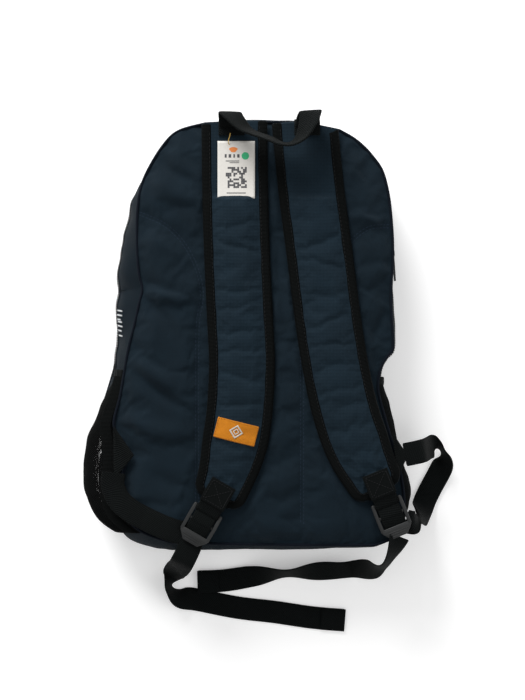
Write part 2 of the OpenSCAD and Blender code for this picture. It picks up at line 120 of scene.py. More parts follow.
def ripple(points, size, seed):
    """Smooth noise from -1 to 1 at each point."""
    shift = Vector((seed * 17.3, seed * 5.1, seed * 9.7))
    flat = np.asarray(points, float).reshape(-1, 3)
    values = [noise.fractal(Vector(p) / size + shift, 1.0, 2.0, 2) for p in flat]
    return np.array(values).reshape(np.asarray(points).shape[:-1])


def make(name, points, faces, material, uvs=None, soft=True):
    """A mesh object from points in millimetres."""
    mesh = bpy.data.meshes.new(name)
    mesh.from_pydata((np.asarray(points).reshape(-1, 3) * MM).tolist(), [], faces)
    mesh.polygons.foreach_set("use_smooth", [soft] * len(mesh.polygons))
    if uvs is not None:
        layer = mesh.uv_layers.new(name="UVMap")
        index = np.zeros(len(mesh.loops), int)
        mesh.loops.foreach_get("vertex_index", index)
        layer.data.foreach_set("uv", (np.asarray(uvs).reshape(-1, 2)[index] * MM).ravel())
    mesh.materials.append(material)
    mesh.update()
    obj = bpy.data.objects.new(name, mesh)
    scene.collection.objects.link(obj)
    return obj


def grid_faces(rows, cols, wrap=False, start=0):
    """Quads over a grid of points. With wrap, the last column joins the first."""
    faces = []
    for r in range(rows - 1):
        for c in range(cols if wrap else cols - 1):
            d = (c + 1) % cols
            a, b = start + r * cols, start + (r + 1) * cols
            faces.append((a + c, a + d, b + d, b + c))
    return faces


def ring_faces(rows, cols, flip=False):
    """Quads over a grid of points whose last row joins the first."""
    faces = []
    for r in range(rows):
        a, b = r * cols, (r + 1) % rows * cols
        for c in range(cols - 1):
            near, far = (a + c, a + c + 1), (b + c + 1, b + c)
            faces.append((near[0], far[1], far[0], near[1]) if flip else near + far)
    return faces


def grid_uvs(grid):
    """Distances along the rows and columns, so that a weave keeps its scale."""
    rows, cols = grid.shape[:2]
    down = np.linalg.norm(np.diff(grid, axis=0), axis=2).mean(axis=1)
    across = np.linalg.norm(np.diff(grid, axis=1), axis=2).mean(axis=0)
    v = np.concatenate([[0], np.cumsum(down)])
    u = np.concatenate([[0], np.cumsum(across)])
    return np.stack(np.meshgrid(u, v), axis=-1).reshape(rows, cols, 2)


def modify(obj, kind, **values):
    m = obj.modifiers.new(kind.lower(), kind)
    for key, value in values.items():
        setattr(m, key, value)
    return m


def apply_all(obj):
    """Turns what the modifiers make into the object's own mesh."""
    graph = bpy.context.evaluated_depsgraph_get()
    graph.update()
    mesh = bpy.data.meshes.new_from_object(obj.evaluated_get(graph))
    obj.modifiers.clear()
    obj.data = mesh
    return obj


def subdivide(obj):
    """One level of subdivision, in the object's own mesh."""
    modify(obj, "SUBSURF", levels=1, render_levels=1)
    return apply_all(obj)


def declare(obj, slot, *nodes, body="pack"):
    """Says which nodes a piece replaces and, unless it bends, which body it rides. Its slot is not used."""
    if nodes:
        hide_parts(*nodes)
    if body:
        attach(obj, body)


def tube(name, rings, around, down, material, closed=False):
    """A skin over rings of points, closed to a loop or capped. around and down give a weave its scale."""
    n, m = rings.shape[:2]
    faces = grid_faces(n, m, wrap=True)
    if closed:
        faces += [((n - 1) * m + c, (n - 1) * m + (c + 1) % m, (c + 1) % m, c) for c in range(m)]
    else:
        faces += [tuple(range(m - 1, -1, -1)), tuple(range((n - 1) * m, n * m))]
    return make(name, rings, faces, material, np.stack(np.meshgrid(around, down), axis=-1))


def sweep(name, path, across, section, material, closed=False):
    """A section of (sideways, outwards) points carried along a path. The sideways direction is one for all of
    the path or one for each point."""
    path, section = np.asarray(path, float), np.asarray(section, float)
    side = unit(np.broadcast_to(np.asarray(across, float), path.shape))
    out = unit(np.cross(tangents(path), side))
    rings = path[:, None] + side[:, None] * section[None, :, :1] + out[:, None] * section[None, :, 1:]
    return tube(name, rings, lengths(section, 2), lengths(path), material, closed)


def tape(width, thick, lift=0.25):
    """The section of a woven tape: flat faces, round selvedges and a slight crown."""
    w, t = width / 2, thick / 2
    top = [(x * w, t + lift * (1 - x * x)) for x in (0.97, 0.6, 0.2, -0.2, -0.6, -0.97)]
    low = [(-x, -y) for x, y in top]
    return top + [(-w, 0)] + low + [(w, 0)]


def round_section(d, count=10):
    turn = 2 * math.pi / count
    return [(d / 2 * math.cos(turn * k), d / 2 * math.sin(turn * k)) for k in range(count)]


def level(path):
    """The sideways direction of a tape that lies flat along a path."""
    t = tangents(np.asarray(path, float))
    return unit(np.stack([-t[:, 1], t[:, 0], np.zeros(len(t))], axis=1))


def joined(name, parts):
    """Several objects as one, with their modifiers applied."""
    bpy.ops.object.select_all(action="DESELECT")
    for o in parts:
        apply_all(o)
        o.select_set(True)
    bpy.context.view_layer.objects.active = parts[0]
    bpy.ops.object.join()
    parts[0].name = name
    return parts[0]


def surface(obj):
    return BVHTree.FromObject(obj, bpy.context.evaluated_depsgraph_get())


def height(tree, x, y, fallback):
    """Height of a surface above a point of the plan, in millimetres."""
    hit = tree.ray_cast(Vector((x * MM, y * MM, 0.3)), Vector((0, 0, -1)))
    return fallback if hit[0] is None else hit[0].z / MM


# Materials. Each takes a colour, and the weave or grain of the real stuff.

class Nodes:
    """A material's node tree, with short calls to add to it."""

    def __init__(self, name, colour, rough, **sockets):
        self.material = bpy.data.materials.new(name)
        self.material.use_nodes = True
        self.tree = self.material.node_tree
        self.shader = self.tree.nodes["Principled BSDF"]
        self.shader.inputs["Base Color"].default_value = (*colour, 1)
        self.shader.inputs["Roughness"].default_value = rough
        for key, value in sockets.items():
            self.shader.inputs[key.replace("_", " ")].default_value = value
        self.material.diffuse_color = (*colour, 1)

    def add(self, kind, inputs=None, **values):
        node = self.tree.nodes.new("ShaderNode" + kind)
        for key, value in values.items():
            setattr(node, key, value)
        for key, value in (inputs or {}).items():
            if hasattr(value, "is_output"):
                self.tree.links.new(value, node.inputs[key])
            else:
                node.inputs[key].default_value = value
        return node

    def maths(self, operation, a, b):
        return self.add("Math", {0: a, 1: b}, operation=operation).outputs[0]

    def total(self, pairs):
        """The sum of (value, share) pairs."""
        parts = [self.maths("MULTIPLY", value, share) for value, share in pairs]
        result = parts[0]
        for part in parts[1:]:
            result = self.maths("ADD", result, part)
        return result

    def place(self, space, turn=None):
        """Texture coordinates, turned about z if asked."""
        at = self.add("TexCoord").outputs[space]
        if turn is None:
            return at
        return self.add("Mapping", {"Vector": at, "Rotation": (0, 0, turn)}).outputs[0]

    def feed(self, socket, node):
        self.tree.links.new(node.outputs[0], self.shader.inputs[socket])

    def bump(self, heights, distance):
        """Adds bumps from (height, share) pairs."""
        inputs = {"Height": self.total(heights), "Distance": distance, "Strength": 1.0}
        self.feed("Normal", self.add("Bump", inputs))

    def colours(self, value, low, high):
        """Base colour running from low to high with a value."""
        node = self.add("ValToRGB", {"Fac": value})
        node.color_ramp.elements[0].color = (*low, 1)
        node.color_ramp.elements[1].color = (*high, 1)
        self.feed("Base Color", node)

    def roughness(self, value, low, high):
        self.feed("Roughness", self.add("MapRange", {"Value": value, "To Min": low, "To Max": high}))

    def bands(self, at, pitch, axis):
        """Soft bands across an axis, a pitch in metres apart."""
        inputs = {"Vector": at, "Scale": math.pi / (10 * pitch), "Distortion": 0.0}
        return self.add("TexWave", inputs, wave_type="BANDS", bands_direction=axis).outputs["Fac"]

    def noise(self, at, scale, detail):
        return self.add("TexNoise", {"Vector": at, "Scale": scale, "Detail": detail}).outputs["Fac"]


def shade(colour, factor):
    return tuple(min(1.0, c * factor) for c in colour)


def woven(name, colour, thread=0.0011, space="Object", rough=0.72, contrast=0.35, sheen=0.04, slant=0.0):
    """Plain weave: two sets of threads that pass over each other, with uneven dye and dust."""
    n = Nodes(name, colour, rough, Sheen_Weight=sheen, Sheen_Roughness=0.45, Specular_IOR_Level=0.06)
    at = n.place(space, slant)
    warp = n.bands(at, thread, "X")
    weft = n.bands(at, thread, "Y")
    check = n.maths("MAXIMUM", n.maths("MULTIPLY", warp, n.maths("SUBTRACT", 1.0, weft)),
                    n.maths("MULTIPLY", weft, n.maths("SUBTRACT", 1.0, warp)))
    patch = n.noise(at, 26.0, 4.0)
    fleck = n.noise(at, 900.0, 1.0)
    tone = n.total([(patch, 0.36), (fleck, 0.30), (check, 0.42)])
    n.colours(tone, shade(colour, 1 - contrast), shade(colour, 1 + contrast * 1.5))
    n.roughness(patch, rough - 0.08, rough + 0.1)
    n.bump([(check, 1.0), (fleck, 0.4)], 0.0003)
    return n.material


def ribbed(name, colour, rib=0.0016, rough=0.7, slant=0.0, depth=0.0004):
    """Grosgrain or webbing: ribs across the tape, with a fine twill on them."""
    n = Nodes(name, colour, rough, Sheen_Weight=0.015, Sheen_Roughness=0.4, Specular_IOR_Level=0.045)
    at = n.place("UV", slant)
    ribs = n.bands(at, rib, "Y")
    cords = n.bands(at, rib / 0.8, "X")
    fleck = n.noise(at, 1100.0, 2.0)
    worn = n.noise(at, 45.0, 3.0)
    n.colours(n.total([(worn, 0.3), (fleck, 0.3), (ribs, 0.45)]), shade(colour, 0.55), shade(colour, 1.7))
    n.bump([(ribs, 1.0), (cords, 0.35), (fleck, 0.5)], depth)
    return n.material


def moulded(name, colour, rough):
    """Moulded plastic: a fine spark-eroded grain and slightly scuffed faces."""
    n = Nodes(name, colour, rough, Specular_IOR_Level=0.5)
    at = n.place("Object")
    grain = n.noise(at, 1400.0, 2.0)
    scuff = n.noise(at, 90.0, 5.0)
    n.colours(scuff, shade(colour, 0.8), shade(colour, 1.25))
    n.roughness(scuff, rough - 0.1, rough + 0.14)
    n.bump([(grain, 1.0)], 0.00006)
    return n.material


def metal(name, colour, rough):
    """Metal with worn patches and a fine grain."""
    n = Nodes(name, colour, rough, Metallic=1.0)
    at = n.place("Object")
    worn = n.noise(at, 260.0, 5.0)
    n.colours(worn, shade(colour, 0.7), shade(colour, 1.2))
    n.roughness(worn, rough - 0.1, rough + 0.2)
    n.bump([(n.noise(at, 1500.0, 2.0), 1.0)], 0.00003)
    return n.material


def silicon(name, colour, finger_pitch, bar_pitch):
    """Silicon cells: dark blue, with fine silver fingers across and wide busbars along."""
    n = Nodes(name, colour, 0.22, Coat_Weight=0.5, Coat_Roughness=0.1)
    at = n.place("Object")
    fingers = n.maths("GREATER_THAN", n.bands(at, finger_pitch, "Y"), 0.93)
    bars = n.maths("GREATER_THAN", n.bands(at, bar_pitch, "X"), 0.985)
    lines = n.maths("MAXIMUM", n.maths("MULTIPLY", fingers, 0.45), bars)
    crystal = n.add("TexVoronoi", {"Vector": at, "Scale": 140.0}).outputs["Color"]
    tint = n.add("MixRGB", {"Fac": 0.05, 1: (*colour, 1), 2: crystal}).outputs[0]
    n.feed("Base Color", n.add("MixRGB", {"Fac": lines, 1: tint, 2: (0.5, 0.52, 0.55, 1)}))
    n.bump([(lines, 1.0)], 0.00005)
    return n.material


def film(name, colour, rough):
    """Clear film over the cells, faintly uneven."""
    n = Nodes(name, colour, rough, Transmission_Weight=1.0, IOR=1.3)
    n.bump([(n.noise(n.place("Object"), 700.0, 3.0), 1.0)], 0.00008)
    return n.material


def paper(name, colour, rough):
    """Card with paler and darker fibres."""
    n = Nodes(name, colour, rough)
    fibre = n.noise(n.place("Object"), 500.0, 4.0)
    n.colours(fibre, (0.60, 0.575, 0.53), (0.70, 0.68, 0.64))
    n.bump([(fibre, 1.0)], 0.00006)
    return n.material


def board(name, colour, rough):
    """A circuit board with its tracks under green lacquer."""
    n = Nodes(name, colour, rough)
    brick = n.add("TexBrick", {"Vector": n.place("Object"), "Scale": 160.0}).outputs["Fac"]
    tracks = n.maths("GREATER_THAN", brick, 0.5)
    n.colours(tracks, (0.01, 0.09, 0.035), (0.02, 0.17, 0.07))
    n.bump([(tracks, 1.0)], 0.00005)
    return n.material


NAVY = (0.0076, 0.0158, 0.0236)
BLACK = (0.0036, 0.0046, 0.0046)
mats = {name: kind(name, *values, **settings) for name, kind, values, settings in (
    ("navy_fabric", woven, [shade(NAVY, 0.72), 0.0013], {"contrast": 0.6}),
    # The side walls' fabric: the navy fabric painted darker, as painted shade on the bag's side walls and the
    # front pocket's walls
    ("side_fabric", woven, [shade(NAVY, 0.58), 0.0011, "UV"], {"sheen": 0.01}),
    ("strap_fabric", woven, [shade(NAVY, 0.86), 0.0021], {"contrast": 0.75, "slant": 0.785}),
    ("lining", woven, [(0.03, 0.032, 0.035), 0.0007, "UV", 0.8], {}),
    ("piping", ribbed, [(0.004, 0.006, 0.010), 0.001], {"depth": 0.0002}),
    ("binding", ribbed, [shade(BLACK, 0.55), 0.0014], {}),
    ("webbing", ribbed, [BLACK, 0.0018], {"slant": 0.5, "depth": 0.0005}),
    ("mesh", ribbed, [(0.005, 0.0055, 0.0055), 0.0006], {"depth": 0.0001}),
    ("elastic", ribbed, [(0.008, 0.009, 0.009), 0.0012], {}),
    ("zip_tape", ribbed, [(0.007, 0.009, 0.012), 0.0008], {"depth": 0.0002}),
    ("zip_coil", ribbed, [(0.010, 0.011, 0.012), 0.0012, 0.45], {"depth": 0.0006}),
    ("slider_metal", metal, [(0.10, 0.105, 0.11), 0.35], {}),
    ("puller", moulded, [(0.02, 0.021, 0.022), 0.5], {}),
    ("panel_film", film, [(0.9, 0.93, 1.0), 0.12], {}),
    ("solar_cell", silicon, [(0.006, 0.012, 0.05), 0.0018, 0.0155], {}),
    ("backsheet", moulded, [(0.62, 0.62, 0.60), 0.5], {}),
    ("panel_border", woven, [(0.012, 0.013, 0.014), 0.0009], {}),
    ("black_plastic", moulded, [(0.014, 0.014, 0.015), 0.45], {}),
    ("screw_steel", metal, [(0.55, 0.55, 0.56), 0.28], {}),
    ("lead_jacket", moulded, [(0.010, 0.010, 0.011), 0.5], {}),
    ("grommet_rubber", moulded, [(0.018, 0.018, 0.018), 0.7], {}),
    ("battery_case", moulded, [(0.06, 0.065, 0.07), 0.4], {}),
    ("cell_wrap", moulded, [(0.02, 0.22, 0.14), 0.3], {}),
    ("circuit_board", board, [(0.01, 0.10, 0.04), 0.35], {}),
    ("socket_metal", metal, [(0.6, 0.6, 0.6), 0.25], {}),
    ("button_plastic", moulded, [(0.55, 0.56, 0.57), 0.35], {}),
    ("buckle_plastic", moulded, [(0.008, 0.0092, 0.0096), 0.5], {}),
    ("label", woven, [(0.58, 0.20, 0.013), 0.0008], {"contrast": 0.2, "sheen": 0.1}),
    ("label_print", woven, [(0.66, 0.62, 0.54), 0.0008], {"contrast": 0.12, "sheen": 0.1}),
    ("card", paper, [(0.78, 0.75, 0.70), 0.55], {}),
    ("print_orange", moulded, [(0.72, 0.22, 0.05), 0.6], {}),
    ("print_green", moulded, [(0.03, 0.40, 0.17), 0.6], {}),
    ("print_grey", moulded, [(0.06, 0.06, 0.065), 0.6], {}),
    ("thread", ribbed, [(0.55, 0.36, 0.10), 0.0008], {"depth": 0.0001}),
    ("stitch", ribbed, [(0.022, 0.034, 0.055), 0.0005], {"depth": 0.0001}),
    ("black_stitch", ribbed, [(0.018, 0.019, 0.02), 0.0005], {"depth": 0.0001}),
    ("white_print", woven, [(0.62, 0.64, 0.66), 0.0009, "UV"], {"contrast": 0.1}))}
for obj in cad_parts.values():
    for slot in obj.material_slots:
        base = slot.material.name.split(".")[0] if slot.material else ""
        slot.material = mats.get(base, mats["black_plastic"])


# Cloth simulation

def crumple(grid, pinned, grow, pressure, cap):
    """Lets a sheet of cloth that is a little too big for its seams puff and crease between them. No point of
    it moves further than cap."""
    rows, cols = grid.shape[:2]
    sheet = make("cloth_work", grid, grid_faces(rows, cols), mats["navy_fabric"])
    group = sheet.vertex_groups.new(name="seams")
    group.add(np.flatnonzero(pinned).tolist(), 1.0, "REPLACE")
    cloth = modify(sheet, "CLOTH")
    s = cloth.settings
    s.quality = 5
    s.mass = 0.0004
    s.tension_stiffness = s.compression_stiffness = 8
    s.shear_stiffness = 4
    s.bending_stiffness = 0.02
    s.air_damping = 4
    s.vertex_group_mass = "seams"
    s.pin_stiffness = 1
    s.shrink_min = -grow
    s.shrink_max = -grow
    s.use_pressure = True
    s.uniform_pressure_force = pressure
    s.effector_weights.gravity = 0
    cloth.collision_settings.use_collision = False
    frames = 14
    cloth.point_cache.frame_start = 1
    cloth.point_cache.frame_end = frames
    for f in range(1, frames + 1):
        scene.frame_set(f)
    result = sheet.evaluated_get(bpy.context.evaluated_depsgraph_get())
    co = np.zeros(rows * cols * 3)
    result.data.vertices.foreach_get("co", co)
    bpy.data.objects.remove(sheet)
    scene.frame_set(1)
    moved = co.reshape(rows, cols, 3) / MM - grid
    size = np.linalg.norm(moved, axis=2, keepdims=True)
    return grid + moved * np.minimum(1, cap / np.maximum(size, 1e-6))


# Camera, floor and light

CAMERA_HIGH = 1560
HALF_VIEW = 385


def camera():
    """Straight down on the bag. HALF_VIEW is half the length of floor that the picture takes in."""
    data = bpy.data.cameras.new("camera")
    data.sensor_width = 36
    data.lens = 18 / (HALF_VIEW / CAMERA_HIGH)
    cam = bpy.data.objects.new("camera", data)
    cam.location = (-0.0026, -0.011, CAMERA_HIGH * MM)
    scene.collection.objects.link(cam)
    scene.camera = cam


def floor_material():
    n = Nodes("floor_white", (0.9, 0.9, 0.9), 0.9, Specular_IOR_Level=0.1, Emission_Strength=0.32)
    n.shader.inputs["Emission Color"].default_value = (1, 1, 1, 1)
    return n.material


def floor_and_light():
    reach = 3000
    corners = [(-reach, -reach, 0), (reach, -reach, 0), (reach, reach, 0), (-reach, reach, 0)]
    floor = make("floor", corners, [(0, 1, 2, 3)], floor_material())
    world = bpy.data.worlds.new("studio")
    world.use_nodes = True
    world.node_tree.nodes["Background"].inputs[0].default_value = (1, 1, 1, 1)
    world.node_tree.nodes["Background"].inputs[1].default_value = 0.5
    scene.world = world
    lamps = (("key", (-0.8, 1.8, 1.05), 1.3, 62), ("fill", (1.5, -0.3, 1.6), 1.8, 8))
    for name, place, size, power in lamps:
        light = bpy.data.lights.new(name, "AREA")
        light.shape = "DISK"
        light.size = size
        light.energy = power
        lamp = bpy.data.objects.new(name, light)
        lamp.location = place
        lamp.rotation_euler = (-Vector(place)).to_track_quat("-Z", "Y").to_euler()
        scene.collection.objects.link(lamp)
    scene.view_settings.view_transform = "Standard"


camera()
floor_and_light()

# The bag's seams. Each point is x, y, and how far the side wall stands out at mid height and at the front
# seam. Heights are above the floor.
SEAM_Z = 68.5
FRONT_Z = 15.0
ZIP_Z = 32.5
left_seam = [
    (-63, 227, 2, 0), (-91, 219, 2, 0), (-107, 204, 2, 0), (-123, 178, 3, 1), (-131, 157, 6, 4),
    (-134.5, 131, 11, 8), (-134.5, 94, 18, 14), (-132.5, 68, 24, 18), (-129, 53, 25, 20),
    (-133, 36, 24, 20), (-137.5, 15, 18, 17), (-144, -11, 12, 14), (-152, -58, 13, 19),
    (-159, -88, 13, 21), (-152, -106, 19, 27), (-146, -124, 24, 32), (-150, -145, 21, 30),
    (-153, -165, 17, 25), (-147, -186, 15, 21), (-128, -203, 16, 18), (-100, -213, 12, 12)]
bottom_seam = [(-60, -214.5, 10, 7), (0, -215.5, 9, 5), (60, -216, 8, 4)]
right_seam = [
    (117, -216, 5, 1), (138, -205, 3, -5), (146, -179, 2, -8), (144, -148, 2, -8), (136, -116, 2, -8),
    (127, -85, 3, -5), (119, -53, 4, -2), (122, -30, 3, 0), (129, -17, 3, 1), (134.5, -6, 4, 2),
    (132.5, 41, 3.5, 1.5), (134.5, 94, -2.5, -3), (132.5, 131, -2.5, -3), (129, 157, -1, -3),
    (123, 178, 0, -3), (113, 192.5, 1, -3), (104, 202.5, 1, -3), (93, 211.5, 1, -2), (78, 220, 2, 0)]
top_seam = [(40, 227, 6, 1), (0, 228.5, 6, 1), (-30, 228.5, 6, 1)]
left_edge = even(smooth(left_seam, 12), 150, 2)[::-1]
right_edge = even(smooth(right_seam, 12), 150, 2)
bottom_edge = even(smooth([left_seam[-1]] + bottom_seam + [right_seam[0]], 12), 100, 2)
top_edge = even(smooth([right_seam[-1]] + top_seam + [left_seam[0]], 12), 60, 2)
seam = np.concatenate([left_edge[::-1][:-1], bottom_edge[:-1], right_edge[:-1], top_edge[:-1]])


# Shoulder straps

# BACK_TOP is the back panel's height under the straps, and TOP_Y is where their paths start.
BACK_TOP = 75.5
left_line = [(-32, 222), (-31, 150), (-29, 85), (-26, 20), (-24, -27), (-27, -80), (-34, -120),
             (-43, -150), (-52, -171)]
right_line = [(42, 222), (48, 160), (57, 90), (66, 20), (74, -30), (84, -75), (98, -115),
              (110, -140), (122, -161)]
TOP_Y = 229


def under_top(points):
    """Keeps points of a strap inside the bag's top seam."""
    line = np.interp(points[..., 0], (-66, -30, 0, 40, 79), (225.5, 228.5, 229, 227, 219.5))
    points[..., 1] = np.minimum(points[..., 1], line)
    return points


class Strap:
    """The plan of one shoulder strap, from the top seam to its lower end."""

    def __init__(self, line, rows=190, cols=44):
        first, second = np.array(line[0], float), np.array(line[1], float)
        head = first + (first - second) / np.linalg.norm(first - second) * (TOP_Y - first[1])
        path = even(smooth([tuple(head)] + line[1:], 12), rows, 2)
        along = tangents(path)
        self.path = path
        self.right = np.stack([along[:, 1], -along[:, 0]], axis=1)
        s = lengths(path, 2)
        corner = 14
        before = 1 - np.clip((s[-1] - s) / corner, 0, 1)
        half = 34 - 7 * ramp(-path[:, 1], 100, 172)
        self.half = half - corner * (1 - np.sqrt(np.clip(1 - before ** 2, 0, 1)))
        self.s, self.rows, self.cols = s, rows, cols

    def points(self, across, up):
        """Points of the strap, from distances across (-1 to 1) and heights."""
        xy = self.path[:, None] + self.right[:, None] * (across * self.half[:, None])[..., None]
        return np.concatenate([under_top(xy), up[..., None]], axis=2)


def edge_distance(strap, across):
    """Distance in the plan from each point of a strap to its edge."""
    side = (1 - np.abs(across)) * strap.half[:, None]
    end = (strap.s[-1] - strap.s)[:, None]
    return np.minimum(side, end)


def padding(y):
    """How far the strap is padded at a height along the bag: 0 above the fold and 1 below it."""
    return ramp(-y, -152, -146)


def strap_surface(strap, seed, creases):
    """The upper face of a strap, with its creases and a little cloth simulation."""
    across = np.repeat(np.linspace(-1, 1, strap.cols)[None], strap.rows, axis=0)
    d = edge_distance(strap, across)
    grid = strap.points(across, np.zeros_like(across))
    padded = padding(grid[..., 1])
    grid[..., 2] = BACK_TOP + 3.3 + 1.5 * padded + (0.15 + 4.6 * padded) * ramp(d, 7, 24)
    soft = ramp(d, 9, 18) * padded
    drift = ripple(grid * np.array([1.0, 0.5, 0.0]), 22, seed + 40)
    fade = 0.75 + 0.6 * ripple(grid * np.array([1.0, 0.3, 0.0]), 30, seed + 60)
    for y, tilt, depth, width in creases:
        line = grid[..., 1] - y - tilt * (grid[..., 0] - strap.path[:, 0][:, None]) + 5 * drift
        grid[..., 2] -= 0.62 * depth * soft * fade * np.exp(-(line / (1.3 * width)) ** 2)
    stretched = grid * np.array([1.0, 2.0, 0.0])
    grid[..., 2] += 0.6 * soft * ripple(stretched, 48, seed)
    pinned = 1 - ramp(d, 8, 13) * np.maximum(padded, 0.02)
    return crumple(grid, pinned > 0.5, 0.02, 6, 2.2)


def close_pad(name, grid, low, material):
    """A closed pad from its upper surface and the height of its underside."""
    rows, cols = grid.shape[:2]
    under = grid.copy()
    under[..., 2] = low
    both = np.concatenate([grid.reshape(-1, 3), under.reshape(-1, 3)])
    n = rows * cols
    faces = [f[::-1] for f in grid_faces(rows, cols)] + grid_faces(rows, cols, start=n)
    index = np.arange(n).reshape(rows, cols)
    ring = [*index[0], *index[1:, -1], *index[-1, -2::-1], *index[-2:0:-1, 0]]
    faces += [(a, b, b + n, a + n) for a, b in zip(ring, ring[1:] + ring[:1])]
    uv = grid_uvs(grid).reshape(-1, 2)
    return make(name, both, faces, material, np.concatenate([uv, uv]))


def strap_edge(strap):
    """The strap's outline in the plan: down one side, round the end and up the other."""
    left = strap.path - strap.right * strap.half[:, None]
    right = strap.path + strap.right * strap.half[:, None]
    outline = under_top(np.concatenate([left, right[::-1]]))
    keep = [0]
    for i in range(1, len(outline)):
        if np.linalg.norm(outline[i] - outline[keep[-1]]) > 0.4:
            keep.append(i)
    return even(outline[keep], 420, 2)


def binding(name, strap, seed):
    """A folded grosgrain tape that wraps the strap's edge, above and below."""
    edge = strap_edge(strap)
    t = tangents(edge)
    inward = np.stack([-t[:, 1], t[:, 0]], axis=1)
    middle = strap.path.mean(axis=0)
    if np.sum(inward[60] * (middle - edge[60])) < 0:
        inward = -inward
    pad = padding(edge[:, 1])
    top = BACK_TOP + 0.1 + 3.2 + 1.5 * pad
    low = BACK_TOP + 0.02 + 0.25 * pad
    wave = ripple(raised(edge, 0), 14, seed)
    width = 9.6 + 0.5 * wave
    # Each corner of the folded tape: how far in, how far up the edge, and a small lift
    fold = ((1, 1, 0.25), (0.95, 1, 0.75), (0.5, 1, 0.95), (0.12, 1, 0.85), (0, 0.8, 0.2),
            (-0.07, 0.5, 0), (0, 0.2, 0), (0.12, 0, 0), (0.9, 0, 0), (1, 0, 0.35))
    rings = []
    for inset, share, lift in fold:
        z = low + (top - low) * share + lift + (0.25 * wave if share == 1 else 0)
        rings.append(raised(edge + inward * (inset * width)[:, None], z))
    rings = np.stack(rings, axis=1)
    band = tube(name, rings, lengths(rings[0]), lengths(edge, 2), mats["binding"])
    return band, edge, inward, top


def bend_with(obj):
    """Writes the piece's placement into its own mesh."""
    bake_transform(obj)


def stitches(name, path, material, length=3.0, gap=1.1, thick=0.55, lift=0.1):
    """A row of short thread stitches along a path of 3-D points."""
    path = np.asarray(path, float)
    s = lengths(path)
    points, faces = [], []
    at = 0.4
    while at + length < s[-1]:
        a, b = resample(path, s, (at, at + length))
        d = unit(b - a)
        side = unit(np.cross(d, (0, 0, 1.0))) * thick / 2
        up = np.array([0, 0, thick / 2])
        rise = np.array([0, 0, lift])
        start = len(points)
        for share, swell in ((0, 0.3), (0.25, 1), (0.75, 1), (1, 0.3)):
            c = a + (b - a) * share + rise * swell
            points += [c + side * swell, c + up * swell, c - side * swell, c - up * swell]
        for r in range(3):
            for k in range(4):
                p, q = start + r * 4 + k, start + r * 4 + (k + 1) % 4
                faces.append((p, q, q + 4, p + 4))
        faces += [(start + 3, start + 2, start + 1, start), tuple(start + 12 + k for k in range(4))]
        at += length + gap
    return make(name, points, faces, material)


# Creases as their y, slope, depth and width
strap_creases = {
    "left": [(120, 0.2, 0.9, 4), (96, -0.3, 1.2, 4), (52, 0.1, 0.9, 3), (36, 0.25, 1.2, 4), (8, 0.0, 1.7, 4),
             (-12, 0.1, 1.4, 3.5), (-38, -0.2, 1.1, 5), (-68, 0.1, 0.9, 4), (-128, 0.2, 0.8, 5)],
    "right": [(128, 0.3, 1.2, 5), (100, 0.35, 1.5, 5), (78, -0.2, 0.9, 4), (44, 0.3, 1.4, 4),
              (20, 0.45, 1.3, 4), (-6, 0.05, 1.6, 4), (-30, 0.15, 1.4, 4), (-52, 0.1, 1.0, 4),
              (-92, 0.2, 0.9, 5), (-118, -0.2, 0.8, 5)],
}


def shoulder_strap(side, line, seed):
    """Makes a strap's pad, its binding and the binding's stitches, and gives back the pad's surface."""
    strap = Strap(line)
    grid = strap_surface(strap, seed, strap_creases[side])
    low = BACK_TOP + 0.1 + 0.3 * padding(grid[..., 1])
    pad = subdivide(close_pad(side + "_shoulder_pad", grid, low, mats["strap_fabric"]))
    declare(pad, "strap_fabric", side + "_pad", "strap_tops", body=None)
    bend_with(pad)
    band, edge, inward, top = binding(side + "_edge_binding", strap, seed)
    subdivide(band)
    declare(band, "binding", side + "_binding", "top_bindings", body=None)
    bend_with(band)
    seam_in = 7.9
    row = raised(edge + inward * seam_in, top + 0.95)[3:-3]
    sewn = stitches(side + "_binding_stitches", row, mats["black_stitch"])
    declare(sewn, "binding", body=None)
    bend_with(sewn)
    return pad


left_pad = shoulder_strap("left", left_line, 3)
shoulder_strap("right", right_line, 8)
left_pad_tree = surface(left_pad)


# Back panel

def to_line(points, line):
    """Distance in the plan from points to a polyline, and the share of the way along it."""
    p = points[..., :2].reshape(-1, 2)
    best = np.full(len(p), 1e9)
    share = np.zeros(len(p))
    total = lengths(line, 2)[-1]
    done = 0.0
    for a, b in zip(line[:-1, :2], line[1:, :2]):
        ab = b - a
        t = np.clip(((p - a) @ ab) / max(ab @ ab, 1e-9), 0, 1)
        d = np.linalg.norm(p - a - t[:, None] * ab, axis=1)
        nearer = d < best
        best = np.where(nearer, d, best)
        share = np.where(nearer, (done + t * np.linalg.norm(ab)) / total, share)
        done += np.linalg.norm(ab)
    return best.reshape(points.shape[:-1]), share.reshape(points.shape[:-1])


stitch_lines = [
    [(-133, 133), (-105, 120), (-84, 99), (-70, 70), (-66, 45), (-70, 20), (-71, -20), (-71, -195)],
    [(131, 119), (110, 117), (92, 104.5), (70, 80), (50, 45), (40, 0), (39, -60), (39, -195)]]
